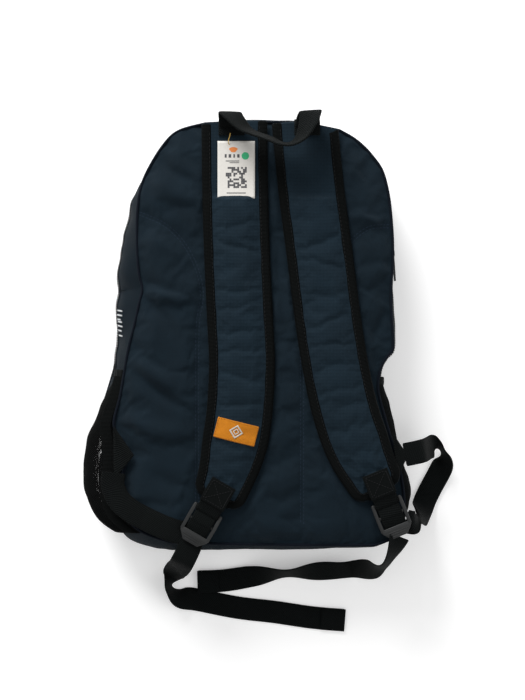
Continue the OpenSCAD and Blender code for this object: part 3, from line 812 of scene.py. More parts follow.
# Wrinkles as their points, height and width
wrinkles = [
    ([(-129, 52), (-112, 47), (-92, 41), (-78, 44)], 2.4, 5),
    ([(-130, 47), (-118, 36), (-106, 22), (-96, 2)], -2.2, 6),
    ([(-138, -30), (-118, -50), (-96, -66), (-84, -74)], -2.2, 5),
    ([(-134, -22), (-112, -40), (-92, -52)], 2.0, 7),
    ([(-148, -76), (-126, -92), (-100, -98), (-80, -96)], 2.2, 8),
    ([(-130, 108), (-108, 100), (-86, 84)], 1.4, 7),
    ([(-120, 170), (-96, 152), (-70, 146)], 1.6, 8),
    ([(-112, 190), (-92, 172), (-74, 166)], -1.4, 7),
    ([(-84, 12), (-80, -20), (-82, -60)], 1.6, 6),
    ([(2, 150), (-4, 90), (4, 30), (10, -20)], 1.6, 10),
    ([(12, 110), (14, 60), (24, 0)], -1.6, 6),
    ([(45, -60), (58, -90), (80, -118), (96, -128)], 2.2, 6),
    ([(44, -84), (56, -112), (74, -134)], -2.2, 5),
    ([(44, -110), (58, -136), (66, -160)], 1.6, 5),
    ([(60, -140), (84, -160), (104, -170)], 1.4, 7),
    ([(124, 120), (104, 128), (88, 130)], 1.6, 6),
    ([(130, 76), (116, 70), (104, 52)], 1.2, 8),
    ([(128, 36), (118, 10), (112, -10)], -1.4, 6),
    ([(-60, -150), (-20, -158), (20, -150)], 1.2, 12),
    ([(-120, -140), (-100, -150), (-80, -160)], -1.6, 7),
    ([(-136, -176), (-108, -190), (-80, -196)], 1.6, 7),
    ([(-40, -196), (20, -204), (90, -200)], 1.4, 9)]


def panel_grid(rows=150, cols=110):
    """The back panel's surface: a pillow between its seams, quilted along its stitch lines and wrinkled."""
    low_row, top_row = spread(bottom_edge[:, :2], cols), spread(top_edge[::-1, :2], cols)
    left, right = left_edge[:, :2], right_edge[:, :2]
    v = np.linspace(0, 1, rows)[:, None, None]
    u = np.linspace(0, 1, cols)[None, :, None]
    corners = (low_row[0] * (1 - u) * (1 - v) + low_row[-1] * u * (1 - v)
               + top_row[0] * (1 - u) * v + top_row[-1] * u * v)
    xy = left[:, None] * (1 - u) + right[:, None] * u + low_row[None] * (1 - v) + top_row[None] * v - corners
    grid = np.concatenate([xy, np.zeros((rows, cols, 1))], axis=2)
    d = to_line(grid, np.concatenate([seam, seam[:1]]))[0]
    d[0], d[-1], d[:, 0], d[:, -1] = 0, 0, 0, 0
    clear = np.minimum.reduce([to_line(grid, np.array(s, float))[0] for s in (left_line, right_line)])
    loose = ramp(clear, 33, 46) * ramp(d, 2, 16)
    z = SEAM_Z + 6.6 * ramp(d, -2, 26)
    z += 1.9 * loose * ripple(grid, 52, 5)
    for points, rise, width in wrinkles:
        away, at = to_line(grid, smooth(points, 6))
        taper = np.sin(np.pi * np.clip(at, 0.02, 0.98)) ** 0.5
        z += 2.1 * rise * loose * np.exp(-(away / (1.15 * width)) ** 2) * taper
    grid[..., 2] = z
    seams = np.minimum.reduce([to_line(grid, smooth(s, 6))[0] for s in stitch_lines])
    grid = crumple(grid, (d < 1.0) | (seams < 1.6) | (clear < 30), 0.03, 5, 3.0)
    grid[..., 2] -= 1.5 * np.exp(-(seams / 2.4) ** 2) * ramp(d, 0, 10)
    grid[..., 2] = np.where(clear < 36, np.minimum(grid[..., 2], BACK_TOP - 0.1), grid[..., 2])
    return grid


back = subdivide(close_pad("back_panel_pad", panel_grid(), SEAM_Z - 1.0, mats["navy_fabric"]))
declare(back, "navy_fabric", "back_panel")
back_tree = surface(back)
for number, points in enumerate(stitch_lines):
    route = even(smooth(points, 10), 160, 2)
    t = tangents(route)
    for row, shift in enumerate((-1.6, 1.6)):
        line = route + np.stack([-t[:, 1], t[:, 0]], axis=1) * shift
        line = [(x, y, height(back_tree, x, y, SEAM_Z)) for x, y in line]
        sewn = stitches(f"quilt_stitches_{number}_{row}", line, mats["stitch"], lift=0.05)
        declare(sewn, "navy_fabric")


# Side wall, front and the seams' piping

def outward(path):
    """Outward direction in the plan along the bag's seam, which runs anticlockwise."""
    t = unit(np.roll(path[:, :2], -1, axis=0) - np.roll(path[:, :2], 1, axis=0))
    return np.stack([t[:, 1], -t[:, 0]], axis=1)


seam_even = even(np.concatenate([seam, seam[:1]]), 561, 2)[:-1]
seam_out = outward(seam_even)


def side_wall(cols=26):
    """The wall from the back seam to the front seam. It bellies out between them and has folds."""
    shares = np.linspace(0, 1, cols)
    mid, front = seam_even[:, 2], seam_even[:, 3]
    layers = []
    for t in shares:
        push = (4 * t * (1 - t)) * (mid - front / 2) + t * front
        layers.append(raised(seam_even[:, :2] + seam_out * push[:, None], SEAM_Z + (FRONT_Z - SEAM_Z) * t))
    grid = np.stack(layers, axis=1)
    flex = (4 * shares * (1 - shares))[None, :]
    left_side = ramp(-seam_even[:, 0], 60, 120)[:, None]
    fold = ripple(grid * np.array([1, 1, 0.35]), 26, 11)
    amount = flex * (0.8 + 2.0 * left_side) * fold
    grid[..., :2] += seam_out[:, None] * amount[..., None]
    uvs = grid_uvs(np.concatenate([grid, grid[:1]]))[:-1]
    # The wall takes the navy fabric painted darker, as painted shade
    obj = make("side_wall", grid, ring_faces(*grid.shape[:2]), mats["side_fabric"], uvs)
    modify(obj, "SOLIDIFY", thickness=0.0016, offset=-1)
    declare(subdivide(obj), "navy_fabric", "gusset", "bottom_panel")
    return grid


wall_grid = side_wall()


def sample(grid, r, c):
    """A point of a grid at fractional rows and columns."""
    r0, c0 = min(int(r), grid.shape[0] - 2), min(int(c), grid.shape[1] - 2)
    fr, fc = r - r0, c - c0
    return ((grid[r0, c0] * (1 - fc) + grid[r0, c0 + 1] * fc) * (1 - fr)
            + (grid[r0 + 1, c0] * (1 - fc) + grid[r0 + 1, c0 + 1] * fc) * fr)


def piping_ring(name, path, node):
    ring = np.concatenate([path[-2:], path, path[:2]])
    piece = sweep(name, path, level(ring)[2:-2], round_section(3.0), mats["piping"], closed=True)
    declare(piece, "piping", node)


piping_ring("back_seam_piping", wall_grid[:, 0] + np.array([0, 0, 0.4]), "back_piping")
piping_ring("front_seam_piping", wall_grid[:, -1], "front_piping")

# The bars printed on the left side wall: the highest one's y, their spacing, and the first and last of the
# wall's columns that each one spans
FIRST_BAR = 27
BAR_PITCH = 4.3
BAR_SPANS = ((7, 12), (7, 12.5), (8, 12), (7, 11), (7, 12.5), (8, 12.5), (7, 12))
BAR_LIFT = 0.9


def wall_print():
    """Plain white bars printed on the left side wall."""
    rows = np.where(seam_even[:, 0] < -100)[0]
    section = [(-0.8, 0), (0.8, 0), (0.8, 0.1), (-0.8, 0.1)]
    bars = []
    for k, (low, high) in enumerate(BAR_SPANS):
        at = rows[np.argmin(np.abs(seam_even[rows, 1] - (FIRST_BAR - BAR_PITCH * k)))]
        out = np.append(seam_out[at], 0.0) * BAR_LIFT
        line = np.array([sample(wall_grid, at, c) + out for c in np.linspace(low, high, 8)])
        bars.append(sweep("bar", line, (0, -1, 0), section, mats["white_print"]))
    declare(joined("side_wall_print", bars), "navy_fabric")


wall_print()


def front_shell():
    """The front of the bag: from the front seam inwards to the pocket, slightly crowned."""
    rim = wall_grid[:, -1]
    centre = rim.mean(axis=0)
    layers = []
    for share in (1, 0.98, 0.96, 0.94, 0.92, 0.9, 0.8, 0.6, 0.4, 0.2, 0.04):
        ring = centre + (rim - centre) * share
        ring[:, 2] = FRONT_Z + 3.6 * float(ramp(1 - share, 0, 0.09))
        layers.append(ring)
    grid = np.stack(layers, axis=1)
    n, m = grid.shape[:2]
    faces = ring_faces(n, m) + [tuple(r * m + m - 1 for r in range(n - 1, -1, -1))]
    obj = make("front_shell", grid, faces, mats["navy_fabric"])
    modify(obj, "SOLIDIFY", thickness=0.0015, offset=1)
    declare(apply_all(obj), "navy_fabric", "front_panel")


front_shell()


# Zips. The main one runs on the side wall over the top, the other on the front pocket's upper wall.

def teeth(name, path, out, pitch=2.6, width=4.0, tall=1.5):
    """A coil zip's turns: a short rounded rib across the path for each pitch."""
    s = lengths(path)
    at = np.arange(0, s[-1], pitch)
    place = resample(path, s, at)
    away = unit(resample(out, s, at))
    along = tangents(place)
    side = np.cross(along, away)
    points, faces = [], []
    profile = ((-0.5, 0), (-0.42, 0.75), (0, 1), (0.42, 0.75), (0.5, 0))
    for p, a, d, w in zip(place, away, along, side):
        base = len(points)
        for push in (-0.36, 0.36):
            points += [p + d * push * pitch + w * width * u + a * tall * v for u, v in profile]
        for k in range(4):
            faces.append((base + k, base + k + 1, base + k + 6, base + k + 5))
        faces += [(base + 4, base + 3, base + 2, base + 1, base), tuple(base + 5 + k for k in range(5))]
    return make(name, points, faces, mats["zip_coil"])


def main_zip():
    """Tape and teeth along the side wall, from one side pocket over the top to the other."""
    columns = wall_grid.shape[1] - 1
    middle = int(round((SEAM_Z - ZIP_Z) / (SEAM_Z - FRONT_Z) * columns))
    # Where the zip ends at the left and right, and the place on the left where the row of points starts
    end_y, start_y = -42, -40
    shift = int(np.argmin(np.where(seam_even[:, 0] < 0, np.abs(seam_even[:, 1] - start_y), 1e9)))
    order = np.roll(np.arange(len(seam_even)), -shift)
    keep = [i for i in order if seam_even[i, 1] > end_y]
    out = raised(seam_out, 0)[keep]
    band = np.stack([wall_grid[keep, middle + k] + out * 0.5 for k in range(-3, 4)], axis=1)
    strip = make("main_zip_band", band, grid_faces(*band.shape[:2]), mats["zip_tape"], grid_uvs(band))
    modify(strip, "SOLIDIFY", thickness=0.0009, offset=0)
    declare(apply_all(strip), "zip_tape", "main_zip_tape")
    declare(teeth("main_zip_teeth", wall_grid[keep, middle] + out * 0.9, out), "zip_coil", "main_zip_coil")


main_zip()


# Front pocket and the solar panel's fabric border

# The front pocket's width, length, middle and corner radius
POCKET = (230, 345, -22, 30)


def round_rect(w, l, y, r, count=240):
    """A rectangle with round corners, as evenly spaced points, anticlockwise."""
    corners = []
    for sx, sy, start in ((1, 1, 0), (-1, 1, 90), (-1, -1, 180), (1, -1, 270)):
        for k in range(13):
            a = math.radians(start + 90 * k / 12)
            corners.append((sx * (w / 2 - r) + r * math.cos(a), y + sy * (l / 2 - r) + r * math.sin(a)))
    loop = np.array(corners + corners[:1])
    return even(loop, count + 1, 2)[:-1]


def pocket_shell():
    """The front pocket: walls that belly out, and a face that sags between the panel and its rim."""
    w, l, y, r = POCKET
    rim = round_rect(w, l, y, r)
    out = outward(rim)
    centre = np.array([0, y])
    walls = ((0, 18.4), (1.6, 15), (2.6, 12), (2.6, 9), (1.8, 6), (0.2, 4.4), (-1.6, 3.7))
    layers = [raised(rim + out * push, z) for push, z in walls]
    layers += [raised(centre + (rim - centre) * share, 3.5) for share in np.linspace(0.96, 0.66, 8)]
    grid = np.stack(layers, axis=1)
    n, m = grid.shape[:2]
    fabric = ramp(np.arange(m), 0, 3)[None] * (1 - ramp(np.arange(m), 10, 14))[None]
    grid[..., 2] += 0.8 * fabric * np.maximum(ripple(grid, 34, 77), -0.2)
    faces = ring_faces(n, m, flip=True) + [tuple(r * m + m - 1 for r in range(n))]
    uvs = grid_uvs(np.concatenate([grid, grid[:1]]))[:-1]
    # The pocket's walls take the side walls' fabric, painted darker as painted shade
    shell = make("front_pocket_shell", grid, faces, mats["side_fabric"], uvs)
    modify(shell, "SOLIDIFY", thickness=0.0012, offset=1)
    declare(apply_all(shell), "navy_fabric", "pocket_front", "pocket_gusset")


def pocket_zip(count=90):
    """The pocket's zip, straight along the middle of its upper wall."""
    w, l, y, r = POCKET
    half, top, z = w / 2 - r, y + l / 2, 11.5
    path = raised(np.stack([np.linspace(-half, half, count), np.full(count, top + 2.7)], axis=1), z)
    strip = sweep("pocket_zip_band", path, (0, 0, 1), tape(12, 0.9, 0.1), mats["zip_tape"])
    declare(strip, "zip_tape", "pocket_zip_tape")
    out = np.tile([0.0, 1.0, 0.0], (count, 1))
    chain = teeth("pocket_zip_teeth", path[2:-2] + np.array([0, 0.3, 0]), out[2:-2])
    declare(chain, "zip_coil", "pocket_zip_coil")


def panel_edge_cloth():
    """The woven border sewn round the solar panel, with two rows of stitches."""
    low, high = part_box("panel_border")
    inner = round_rect(160.6, 230.6, 0, 4)
    outer = round_rect((high.x - low.x) / MM, (high.y - low.y) / MM, 0, 10)
    section = ((0, 2.7), (0, 0.9), (0.06, 0.6), (0.5, 0.5), (0.94, 0.6), (1, 0.9), (1, 2.7), (0.5, 2.9))
    grid = np.stack([raised(inner + (outer - inner) * share, z) for share, z in section], axis=1)
    n, m = grid.shape[:2]
    faces = [(r * m + c, (r + 1) % n * m + c, (r + 1) % n * m + (c + 1) % m, r * m + (c + 1) % m)
             for r in range(n) for c in range(m)]
    cloth = make("panel_edge_cloth", grid, faces, mats["panel_border"])
    declare(cloth, "panel_border", "panel_border")
    for number, share in enumerate((0.2, 0.85)):
        ring = inner + (outer - inner) * share
        loop = raised(np.concatenate([ring, ring[:1]]), 0.42)
        row = stitches(f"panel_stitches_{number}", loop, mats["black_stitch"], thick=0.5, lift=-0.05)
        declare(row, "panel_border")


pocket_shell()
pocket_zip()
panel_edge_cloth()


# Fabric wedges that hold the lower webbing in the side seams

def wedge(name, outline, folds):
    """A folded triangle of cloth. Its outline's points carry their own heights."""
    corner, second, third = (np.array(p, float) for p in outline)
    rows = 16
    grid = np.zeros((rows, rows, 3))
    for i, u in enumerate(np.linspace(0, 1, rows)):
        for j, v in enumerate(np.linspace(0, 1, rows)):
            grid[i, j] = corner * (1 - u) + (second * (1 - v) + third * v) * u
            grid[i, j, 2] += folds * math.sin(3 * math.pi * v) * u * (1 - u) * 3 + 0.8 * u * (1 - u) * 4
    cloth = make(name, grid, grid_faces(rows, rows), mats["webbing"], grid_uvs(grid))
    modify(cloth, "SOLIDIFY", thickness=0.0016, offset=0)
    declare(subdivide(cloth), "webbing", "strap_wedges")


wedge("left_wedge_cloth", [(-158, -91, 75.5), (-136.5, -121, 78), (-158, -147, 78)], 0.9)
wedge("right_wedge_cloth", [(134, -98, 74), (150, -122, 72), (138, -148, 74)], 0.6)


# Netting side pockets

def wall_at(side, y, share):
    """A point of the side wall at a height along the bag, on the left (-1) or the right (1)."""
    rows = np.where((seam_even[:, 0] * side > 60) & (seam_even[:, 1] < 120))[0]
    row = rows[np.argmin(np.abs(seam_even[rows, 1] - y))]
    columns = wall_grid.shape[1] - 1
    point = wall_grid[row, int(round(share * columns))].copy()
    point[1] = y
    return point


def pocket_surface(side, stations, rows=60, cols=30):
    """The pocket's outer surface, from stations of (y, outermost x)."""
    line = even(smooth(stations, 8), rows, 2)
    grid = np.zeros((rows, cols, 3))
    turn = np.linspace(0, math.pi, cols)
    share = (1 - np.cos(turn)) / 2
    for r, (y, x) in enumerate(line):
        back, front = wall_at(side, y, 0.04), wall_at(side, y, 0.93)
        grid[r] = back + (front - back) * share[:, None]
        grid[r, :, 0] += (x - grid[r, :, 0]) * np.sin(turn) ** 0.7
    flex = np.sin(turn)[None] * ramp(np.arange(rows), 0, 8)[:, None]
    grid[..., 0] += side * 1.6 * flex * ripple(grid, 22, 31)
    return grid


def netting(name, grid, cell=1.8, thread=1.28):
    """Diamond netting laid over a surface: every second node of a lattice, and a thread along each link."""
    size_r = np.linalg.norm(np.diff(grid, axis=0), axis=2).sum(axis=0).mean()
    size_c = np.linalg.norm(np.diff(grid, axis=1), axis=2).sum(axis=1).mean()
    nr, nc = 2 * int(size_r / cell / 1.2), 2 * int(size_c / cell / 1.2)
    index, points, faces = {}, [], []
    for i in range(nr + 1):
        for j in range(nc + 1):
            if (i + j) % 2 == 0:
                index[i, j] = len(points)
                points.append(sample(grid, i / nr * (grid.shape[0] - 1), j / nc * (grid.shape[1] - 1)))
    for i in range(1, nr):
        for j in range(1, nc):
            if (i + j) % 2 == 1:
                faces.append((index[i - 1, j], index[i, j - 1], index[i + 1, j], index[i, j + 1]))
    obj = make(name, points, faces, mats["mesh"])
    modify(obj, "WIREFRAME", thickness=thread * MM, use_replace=True, use_even_offset=False)
    return apply_all(obj)


def side_pocket(side, word, stations, trim_width):
    """A pocket's netting, the elastic hem at its mouth and the trim along its seam."""
    grid = pocket_surface(side, stations)
    declare(netting(word + "_netting", grid), "mesh", word + "_mesh_pocket")
    hem = grid[0] + np.array([0, 2.0, 0])
    hem[:, 0] += side * 0.9 * np.sin(np.arange(len(hem)) * 1.9)
    band = sweep(word + "_elastic_hem", even(smooth(hem, 3), 90), (0, 1, 0), tape(9, 2.2), mats["elastic"])
    declare(subdivide(band), "elastic", word + "_pocket_hem")
    count = 120
    across = spread(unit(grid[:, 3] - grid[:, 1]), count)
    section = tape(trim_width, 1.4)
    trim = sweep(word + "_pocket_trim", even(grid[:, 2], count), across, section, mats["binding"])
    declare(subdivide(trim), "binding")


side_pocket(-1, "left", [(-38, -158.5), (-50, -164), (-70, -174), (-92, -183.5), (-108, -190), (-135, -193),
                         (-157, -193), (-168, -190), (-182, -184), (-196, -173), (-204, -160)], 13)
side_pocket(1, "right", [(-46, 125), (-55, 127.5), (-65, 131), (-84, 136), (-102, 139.5), (-125, 145),
                         (-140, 149.5), (-161, 155), (-175, 152.5), (-190, 147), (-200, 141)], 7)


# Webbing. Its routes are those of its middle line.

WEB_W = 25
WEB_T = 1.6
left_tail_route = [
    (-73, -199, 77), (-77, -212, 77.4), (-82, -224, 77.4), (-87, -234, 75.5), (-91, -241, 60),
    (-96, -248, 36), (-101, -258, 12), (-105, -270, 3), (-95, -281, 1.2), (-76, -285, 1.2),
    (-31, -294, 1.2), (11, -299, 1.2), (52, -305, 1.2), (88, -308, 1.2)]
right_tail_route = [
    (141, -206, 77), (137, -216, 77.6), (132, -226, 77.6), (126, -236, 75.5), (120, -243, 58),
    (112, -247, 34), (100, -250, 12), (84, -252, 4), (62, -253, 3), (38, -254, 3), (10, -256, 3),
    (-18, -260, 3.2), (-46, -264, 4), (-74, -265, 5)]
left_lower_route = [
    (-158, -139, 78.4), (-159, -152, 78), (-153, -167, 78), (-140, -179, 78.2), (-123, -188, 78),
    (-105, -196, 77.2), (-91, -201, 76.6), (-78, -203, 76.2)]
right_lower_route = [
    (146, -121, 72.6), (156, -119, 73.4), (167, -116.5, 71), (176, -115, 46), (184, -114, 24),
    (191, -117, 16),
    (196.5, -127, 14), (194, -138, 8), (190, -148, 4), (183, -161, 3), (176, -175, 4), (171, -185, 14),
    (165, -190, 48), (157, -192, 73), (147, -190, 76.6)]


def webbing(name, node, route, tilts=(), hem=False, on_panel=False):
    """A woven tape along a route. tilts are
    (place along the route from 0 to 1, spread, degrees on edge)."""
    path = even(smooth(route, 12), 160)
    flat = level(path)
    at = np.linspace(0, 1, len(path))
    angle = np.zeros(len(path))
    for place, width, degrees in tilts:
        angle += math.radians(degrees) * np.exp(-((at - place) / width) ** 2)
    across = flat * np.cos(angle)[:, None] + np.array([0, 0, 1.0]) * np.sin(angle)[:, None]
    lifted = path.copy()
    lifted[:, 2] = np.maximum(path[:, 2], np.abs(np.sin(angle)) * WEB_W / 2 + WEB_T / 2 + 0.3)
    if on_panel:
        under = [max(height(back_tree, *(p[:2] + a[:2] * k), 0) for k in (-12, -6, 0, 6, 12))
                 for p, a in zip(path, flat)]
        under = np.convolve(np.pad(under, 8, mode="edge"), np.ones(17) / 17, mode="valid")
        lifted[:, 2] = np.maximum(lifted[:, 2], np.where(path[:, 2] > 70, under + 1.5, 0))
    parts = [sweep(name, lifted, across, tape(WEB_W, WEB_T), mats["webbing"])]
    modify(parts[0], "SUBSURF", levels=1, render_levels=1)
    if hem:
        rim, section = lifted[-14:] + np.array([0, 0, WEB_T]), tape(WEB_W - 0.6, WEB_T * 0.8)
        parts.append(sweep(name + "_hem", rim, across[-14:], section, mats["webbing"]))
    piece = joined(name, parts)
    declare(piece, "webbing", node, body=None)
    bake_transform(piece)


webbing("left_webbing_tail", "webbing_tails", left_tail_route,
        tilts=[(0.385, 0.06, -78)], hem=True)
webbing("right_webbing_tail", "webbing_tails", right_tail_route,
        hem=True,
        tilts=[(0.12, 0.12, -66), (0.42, 0.1, -35), (0.65, 0.11, -62)])
webbing("left_lower_webbing", "lower_webbing", left_lower_route,
        on_panel=True)
webbing("right_lower_webbing", "lower_webbing", right_lower_route,
        tilts=[(0.37, 0.07, 84), (0.87, 0.06, 72)])


# Ladder-lock buckles. Their own frame has x across the webbing and y towards the pad.

LOCK_Z = 80.1
LOCK_W = 33.6
LOCK_LOW = -28
RAIL = 3.6


def plate(name, outline, low, high, material, bevel=0.5, segments=2):
    """An outline raised from one height to another, with rounded edges."""
    n = len(outline)
    points = [(x, y, low) for x, y in outline] + [(x, y, high) for x, y in outline]
    faces = [tuple(range(n - 1, -1, -1)), tuple(range(n, 2 * n))]
    faces += [(k, (k + 1) % n, (k + 1) % n + n, k + n) for k in range(n)]
    obj = make(name, points, faces, material)
    modify(obj, "BEVEL", width=bevel * MM, segments=segments, limit_method="ANGLE", angle_limit=0.6)
    return obj


def box_outline(x, y, w, h):
    return [(x - w / 2, y - h / 2), (x + w / 2, y - h / 2), (x + w / 2, y + h / 2), (x - w / 2, y + h / 2)]


def lock_tape(points, width):
    """Webbing along points (y, z) of the buckle's frame."""
    path = even(smooth([(0, y, z) for y, z in points], 8), 60)
    piece = sweep("lock_tape", path, (1, 0, 0), tape(width, WEB_T, 0.15), mats["webbing"])
    modify(piece, "SUBSURF", levels=1, render_levels=1)
    return piece


def lock_plastic():
    """A buckle's rails, three bars, tab and ribs."""
    half, plastic = LOCK_W / 2, mats["buckle_plastic"]
    across = LOCK_W - 2 * RAIL + 2
    parts = []
    for x in (-1, 1):
        rail = [(x * half, 1.5), (x * (half - 0.8), 3.2), (x * (half - RAIL), 3.2),
                (x * (half - RAIL), LOCK_LOW), (x * half, LOCK_LOW), (x * (half + 0.3), -12)]
        parts.append(plate("rail", rail if x > 0 else rail[::-1], -2.2, 2.2, plastic, 0.9, 3))
    tab = [(-half + 0.6, LOCK_LOW + 1.5), (half - 0.6, LOCK_LOW + 1.5), (half - 0.9, LOCK_LOW - 1),
           (8.5, LOCK_LOW - 9), (-8.5, LOCK_LOW - 9), (-half + 0.9, LOCK_LOW - 1)]
    parts += [plate("top_bar", box_outline(0, 0.8, across, 3.2), -1.2, 1.2, plastic, 0.7, 3),
              plate("mid_bar", box_outline(0, -13, across, 3), -0.8, 1.1, plastic, 0.6, 2),
              plate("low_bar", box_outline(0, LOCK_LOW + 1.5, across, 3), -0.4, 2.0, plastic, 0.6, 2),
              plate("tab", tab[::-1], 0.2, 2.1, plastic, 0.7, 3)]
    for k in range(3):
        rib = box_outline(0, LOCK_LOW - 2.2 - 2.3 * k, 24 - 5 * k, 0.8)
        parts.append(plate("rib", rib, 2.0, 2.6, plastic, 0.25, 2))
    return parts


def ladder_lock(side, place, lean):
    """One buckle at the end of a strap, with its webbing and the loop that holds it."""
    at = (Matrix.Translation(Vector((place[0], place[1], LOCK_Z)) * MM)
          @ Matrix.Rotation(math.radians(lean), 4, "Z"))

    def put(name, parts, slot, body, *nodes):
        piece = joined(side + name, parts)
        piece.matrix_world = at
        declare(piece, slot, *nodes, body=side + body)

    put("_buckle", lock_plastic(), "buckle_plastic", "_lock", side + "_ladder_lock")
    over = [(-2.2, 0.2), (-5, 1.6), (-9, 2.6), (-13, 2.9), (-15.6, 1.6), (-15.9, -0.4), (-13, -1.7),
            (-9, -2.2), (-4, -2.9)]
    away = [(-15.0, 2.2), (-19, 1.4), (-22.5, 0.2), (-27, -1.2), (-33, -2.4)]
    turns = [lock_tape(over, WEB_W - 1), lock_tape(away, WEB_W - 0.5)]
    put("_buckle_webbing", turns, "webbing", "_lock", side + "_web_turn")
    # The loop round the top bar, sewn to the pad under a patch
    loop = lock_tape([(34, 5.9), (24, 6.2), (13, 6.0), (7, 4.8), (2.5, 3.4), (-0.8, 2.7), (-2.9, 0.4),
                      (-1.2, -2.6), (2.5, -2.9), (5.2, -3.0)], WEB_W + 1)
    patch = plate("patch", box_outline(0, 22, WEB_W + 3, 27), 5.6, 7.4, mats["webbing"], 0.7, 3)
    modify(patch, "SUBSURF", levels=1, render_levels=1)
    put("_web_patch", [loop, patch], "webbing", "_strap", side + "_web_loop")
    w, low, high = 11.5, 11, 33
    cross = [(-w, high), (w, high), (w, low), (-w, low), (-w, high), (w, low), (w, high), (-w, low)]
    rows = [stitches("row", [(*a, 7.5), (*b, 7.5)], mats["black_stitch"], length=2.2, gap=0.8, thick=0.6)
            for a, b in zip(cross[:-1], cross[1:])]
    put("_patch_stitches", rows, "webbing", "_strap")


ladder_lock("left", (-60, -180), -30)
ladder_lock("right", (127, -171), 22)


# Grab handle

handle_route = [
    (-35, 222, 82.8), (-36, 230, 89), (-36, 234, 97), (-31, 227, 103), (-19, 215, 104), (2, 207, 104),
    (22, 200.5, 102), (36, 206, 103), (44, 221, 104), (47, 235, 98), (45, 231, 89), (44, 222, 82.8)]
handle_across = [
    (1, 0, 0), (1, 0, 0), (0.95, 0, -0.2), (0.5, 0.15, -0.8), (0.1, 0.3, -0.95), (0, 0.35, -0.94),
    (0, 0.35, -0.94), (-0.2, 0.25, -0.95), (-0.45, 0.1, -0.88), (-0.85, 0, -0.45), (-1, 0, 0), (-1, 0, 0)]
HANDLE_ENDS = (-35, 44)


def handle():
    """The grab handle, and the flaps that sew its two ends to the bag."""
    path = even(smooth(handle_route, 14), 150)
    across = even(smooth(handle_across, 14), 150)
    band = subdivide(sweep("grab_handle_tape", path, across, tape(WEB_W, 2.4), mats["webbing"]))
    declare(band, "webbing", "grab_handle", body=None)
    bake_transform(band)
    parts = []
    for x in HANDLE_ENDS:
        flap = [(x, 213, 80.0), (x, 219, 80.6), (x, 224, 81.6), (x, 228.5, 79.5), (x, 230, 74)]
        line = even(smooth(flap, 6), 24)
        parts.append(sweep("flap", line, (1, 0, 0), tape(WEB_W + 2, 1.6), mats["webbing"]))
    declare(joined("handle_flaps", parts), "webbing", "handle_anchors")


handle()


# Woven label and card tag

def draped_patch(name, place, size, lean, tree, lift, material, step=1.5, thick=0.5):
    """A rectangle of cloth that follows the surface under it."""
    rows, cols = int(size[1] / step) + 1, int(size[0] / step) + 1
    grid = np.zeros((rows, cols, 3))
    for r in range(rows):
        for c in range(cols):
            a, b = (c / (cols - 1) - 0.5) * size[0], (r / (rows - 1) - 0.5) * size[1]
            x, y = turned(place, lean, a, b)
            grid[r, c] = (x, y, height(tree, x, y, 85) + lift)
    grid[..., 2] = 0.6 * grid[..., 2] + 0.4 * np.maximum(grid[..., 2], grid[..., 2].mean())
    obj = make(name, grid, grid_faces(rows, cols), material, grid_uvs(grid))
    modify(obj, "SOLIDIFY", thickness=thick * MM, offset=1)
    return subdivide(obj)


LABEL = (-30, -96)
LABEL_LEAN = -14
label = draped_patch("woven_label_cloth", LABEL, (44, 21.5), LABEL_LEAN, left_pad_tree, 0.35, mats["label"])
declare(label, "label", "woven_label", body="left_strap")
label_tree = surface(label)


def on_label(points):
    """Points of the label's own plane, laid on its surface."""
    plan = [turned(LABEL, LABEL_LEAN, a, b) for a, b in points]
    return np.array([(x, y, height(label_tree, x, y, 86) + 0.15) for x, y in plan])


def label_emblem():
    """Two plain diamonds in white thread, and the stitches round the label."""
    diamond = np.array([(0, 6.4), (6.4, 0), (0, -6.4), (-6.4, 0), (0, 6.4)])
    rows = []
    for scale, wide in ((1.0, 1.5), (0.45, 1.0)):
        section = [(-wide / 2, 0), (wide / 2, 0), (wide / 2, 0.25), (-wide / 2, 0.25)]
        corners = diamond * scale
        for a, b in zip(corners[:-1], corners[1:]):
            line = on_label([a + (b - a) * t for t in np.linspace(-0.06, 1.06, 9)])
            rows.append(sweep("line", line, level(line), section, mats["label_print"]))
    declare(joined("label_emblem", rows), "label", body="left_strap")
    edge = [(-21, -9.8), (21, -9.8), (21, 9.8), (-21, 9.8), (-21, -9.8)]
    fine = np.concatenate([np.linspace(a, b, 14) for a, b in zip(edge[:-1], edge[1:])])
    sewn = stitches("label_stitches", on_label(fine), mats["label"], length=2.0, gap=0.8, thick=0.5)
    declare(sewn, "label", body="left_strap")


label_emblem()


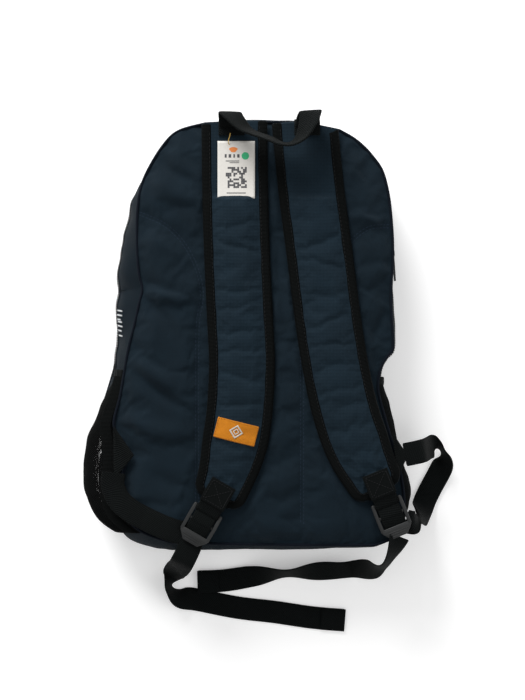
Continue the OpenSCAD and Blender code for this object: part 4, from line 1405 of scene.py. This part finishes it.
def card_tag():
    """A printed card with a thread: blank marks and a block pattern, no lettering."""
    # The card's middle, width, height and how high it lies
    x, y, w, h, z = -30, 177, 39, 60, 79.9
    v, u = np.meshgrid(np.linspace(-0.5, 0.5, 25), np.linspace(-0.5, 0.5, 17), indexing="ij")
    curl = 1.2 * (2 * u) ** 4 * np.abs(v) + 1.1 * np.maximum(0, -v - 0.2) ** 2 * 8
    grid = np.stack([x + u * w, y + v * h, z + 0.05 + curl], axis=-1)
    card = make("card_tag_sheet", grid, grid_faces(*u.shape), mats["card"], grid_uvs(grid))
    modify(card, "SOLIDIFY", thickness=0.0005, offset=1)
    declare(apply_all(card), "card", "card_tag", body="tag")
    tree = surface(card)

    def mark(outline, material):
        points = [(px, py, height(tree, px, py, z + 0.6) + 0.03) for px, py in outline]
        return make("mark", points, [tuple(range(len(points)))], material, soft=False)

    def square(cx, cy, a, b=None):
        return mark(box_outline(cx, cy, a, b or a), mats["print_grey"])

    blob = [(x - 3 + 4.2 * math.cos(a) * (1 + 0.18 * math.sin(3 * a)), y + 21 + 2.8 * math.sin(a))
            for a in np.linspace(0, 2 * math.pi, 20, endpoint=False)]
    dot = [(x + 9.5 + 3.9 * math.cos(a), y + 14.5 + 3.9 * math.sin(a))
           for a in np.linspace(0, 2 * math.pi, 24, endpoint=False)]
    marks = [mark(blob, mats["print_orange"]), mark(dot, mats["print_green"])]
    for k, wide in enumerate((2.0, 2.6, 1.6, 2.4)):
        marks.append(square(x - 11 + 4.4 * k, y + 14.5, wide, 3.6))
    marks += [square(x - 4, y + 9.2, 14, 0.9), square(x - 2, y + 7.4, 10, 0.7), square(x, y - 24.2, 20, 0.9)]
    dice = random.Random(5)
    blocks, pitch = 11, 2
    for i in range(blocks):
        for j in range(blocks):
            if dice.random() < 0.56:
                marks.append(square(x - 10 + pitch * i, y - 18 + pitch * j, 1.9))
    for obj in marks:
        modify(obj, "SOLIDIFY", thickness=0.00008, offset=1)
    declare(joined("card_marks", marks), "card", body="tag")
    thread = [(-37, 203, 80.2), (-38.2, 205, 82.0), (-38, 208, 83.0), (-36.8, 211, 84.5), (-36, 214, 88)]
    line = even(smooth(thread, 8), 40)
    cord = sweep("tag_thread_loop", line, level(line), round_section(0.9, 8), mats["thread"])
    declare(cord, "thread", "tag_thread")


card_tag()
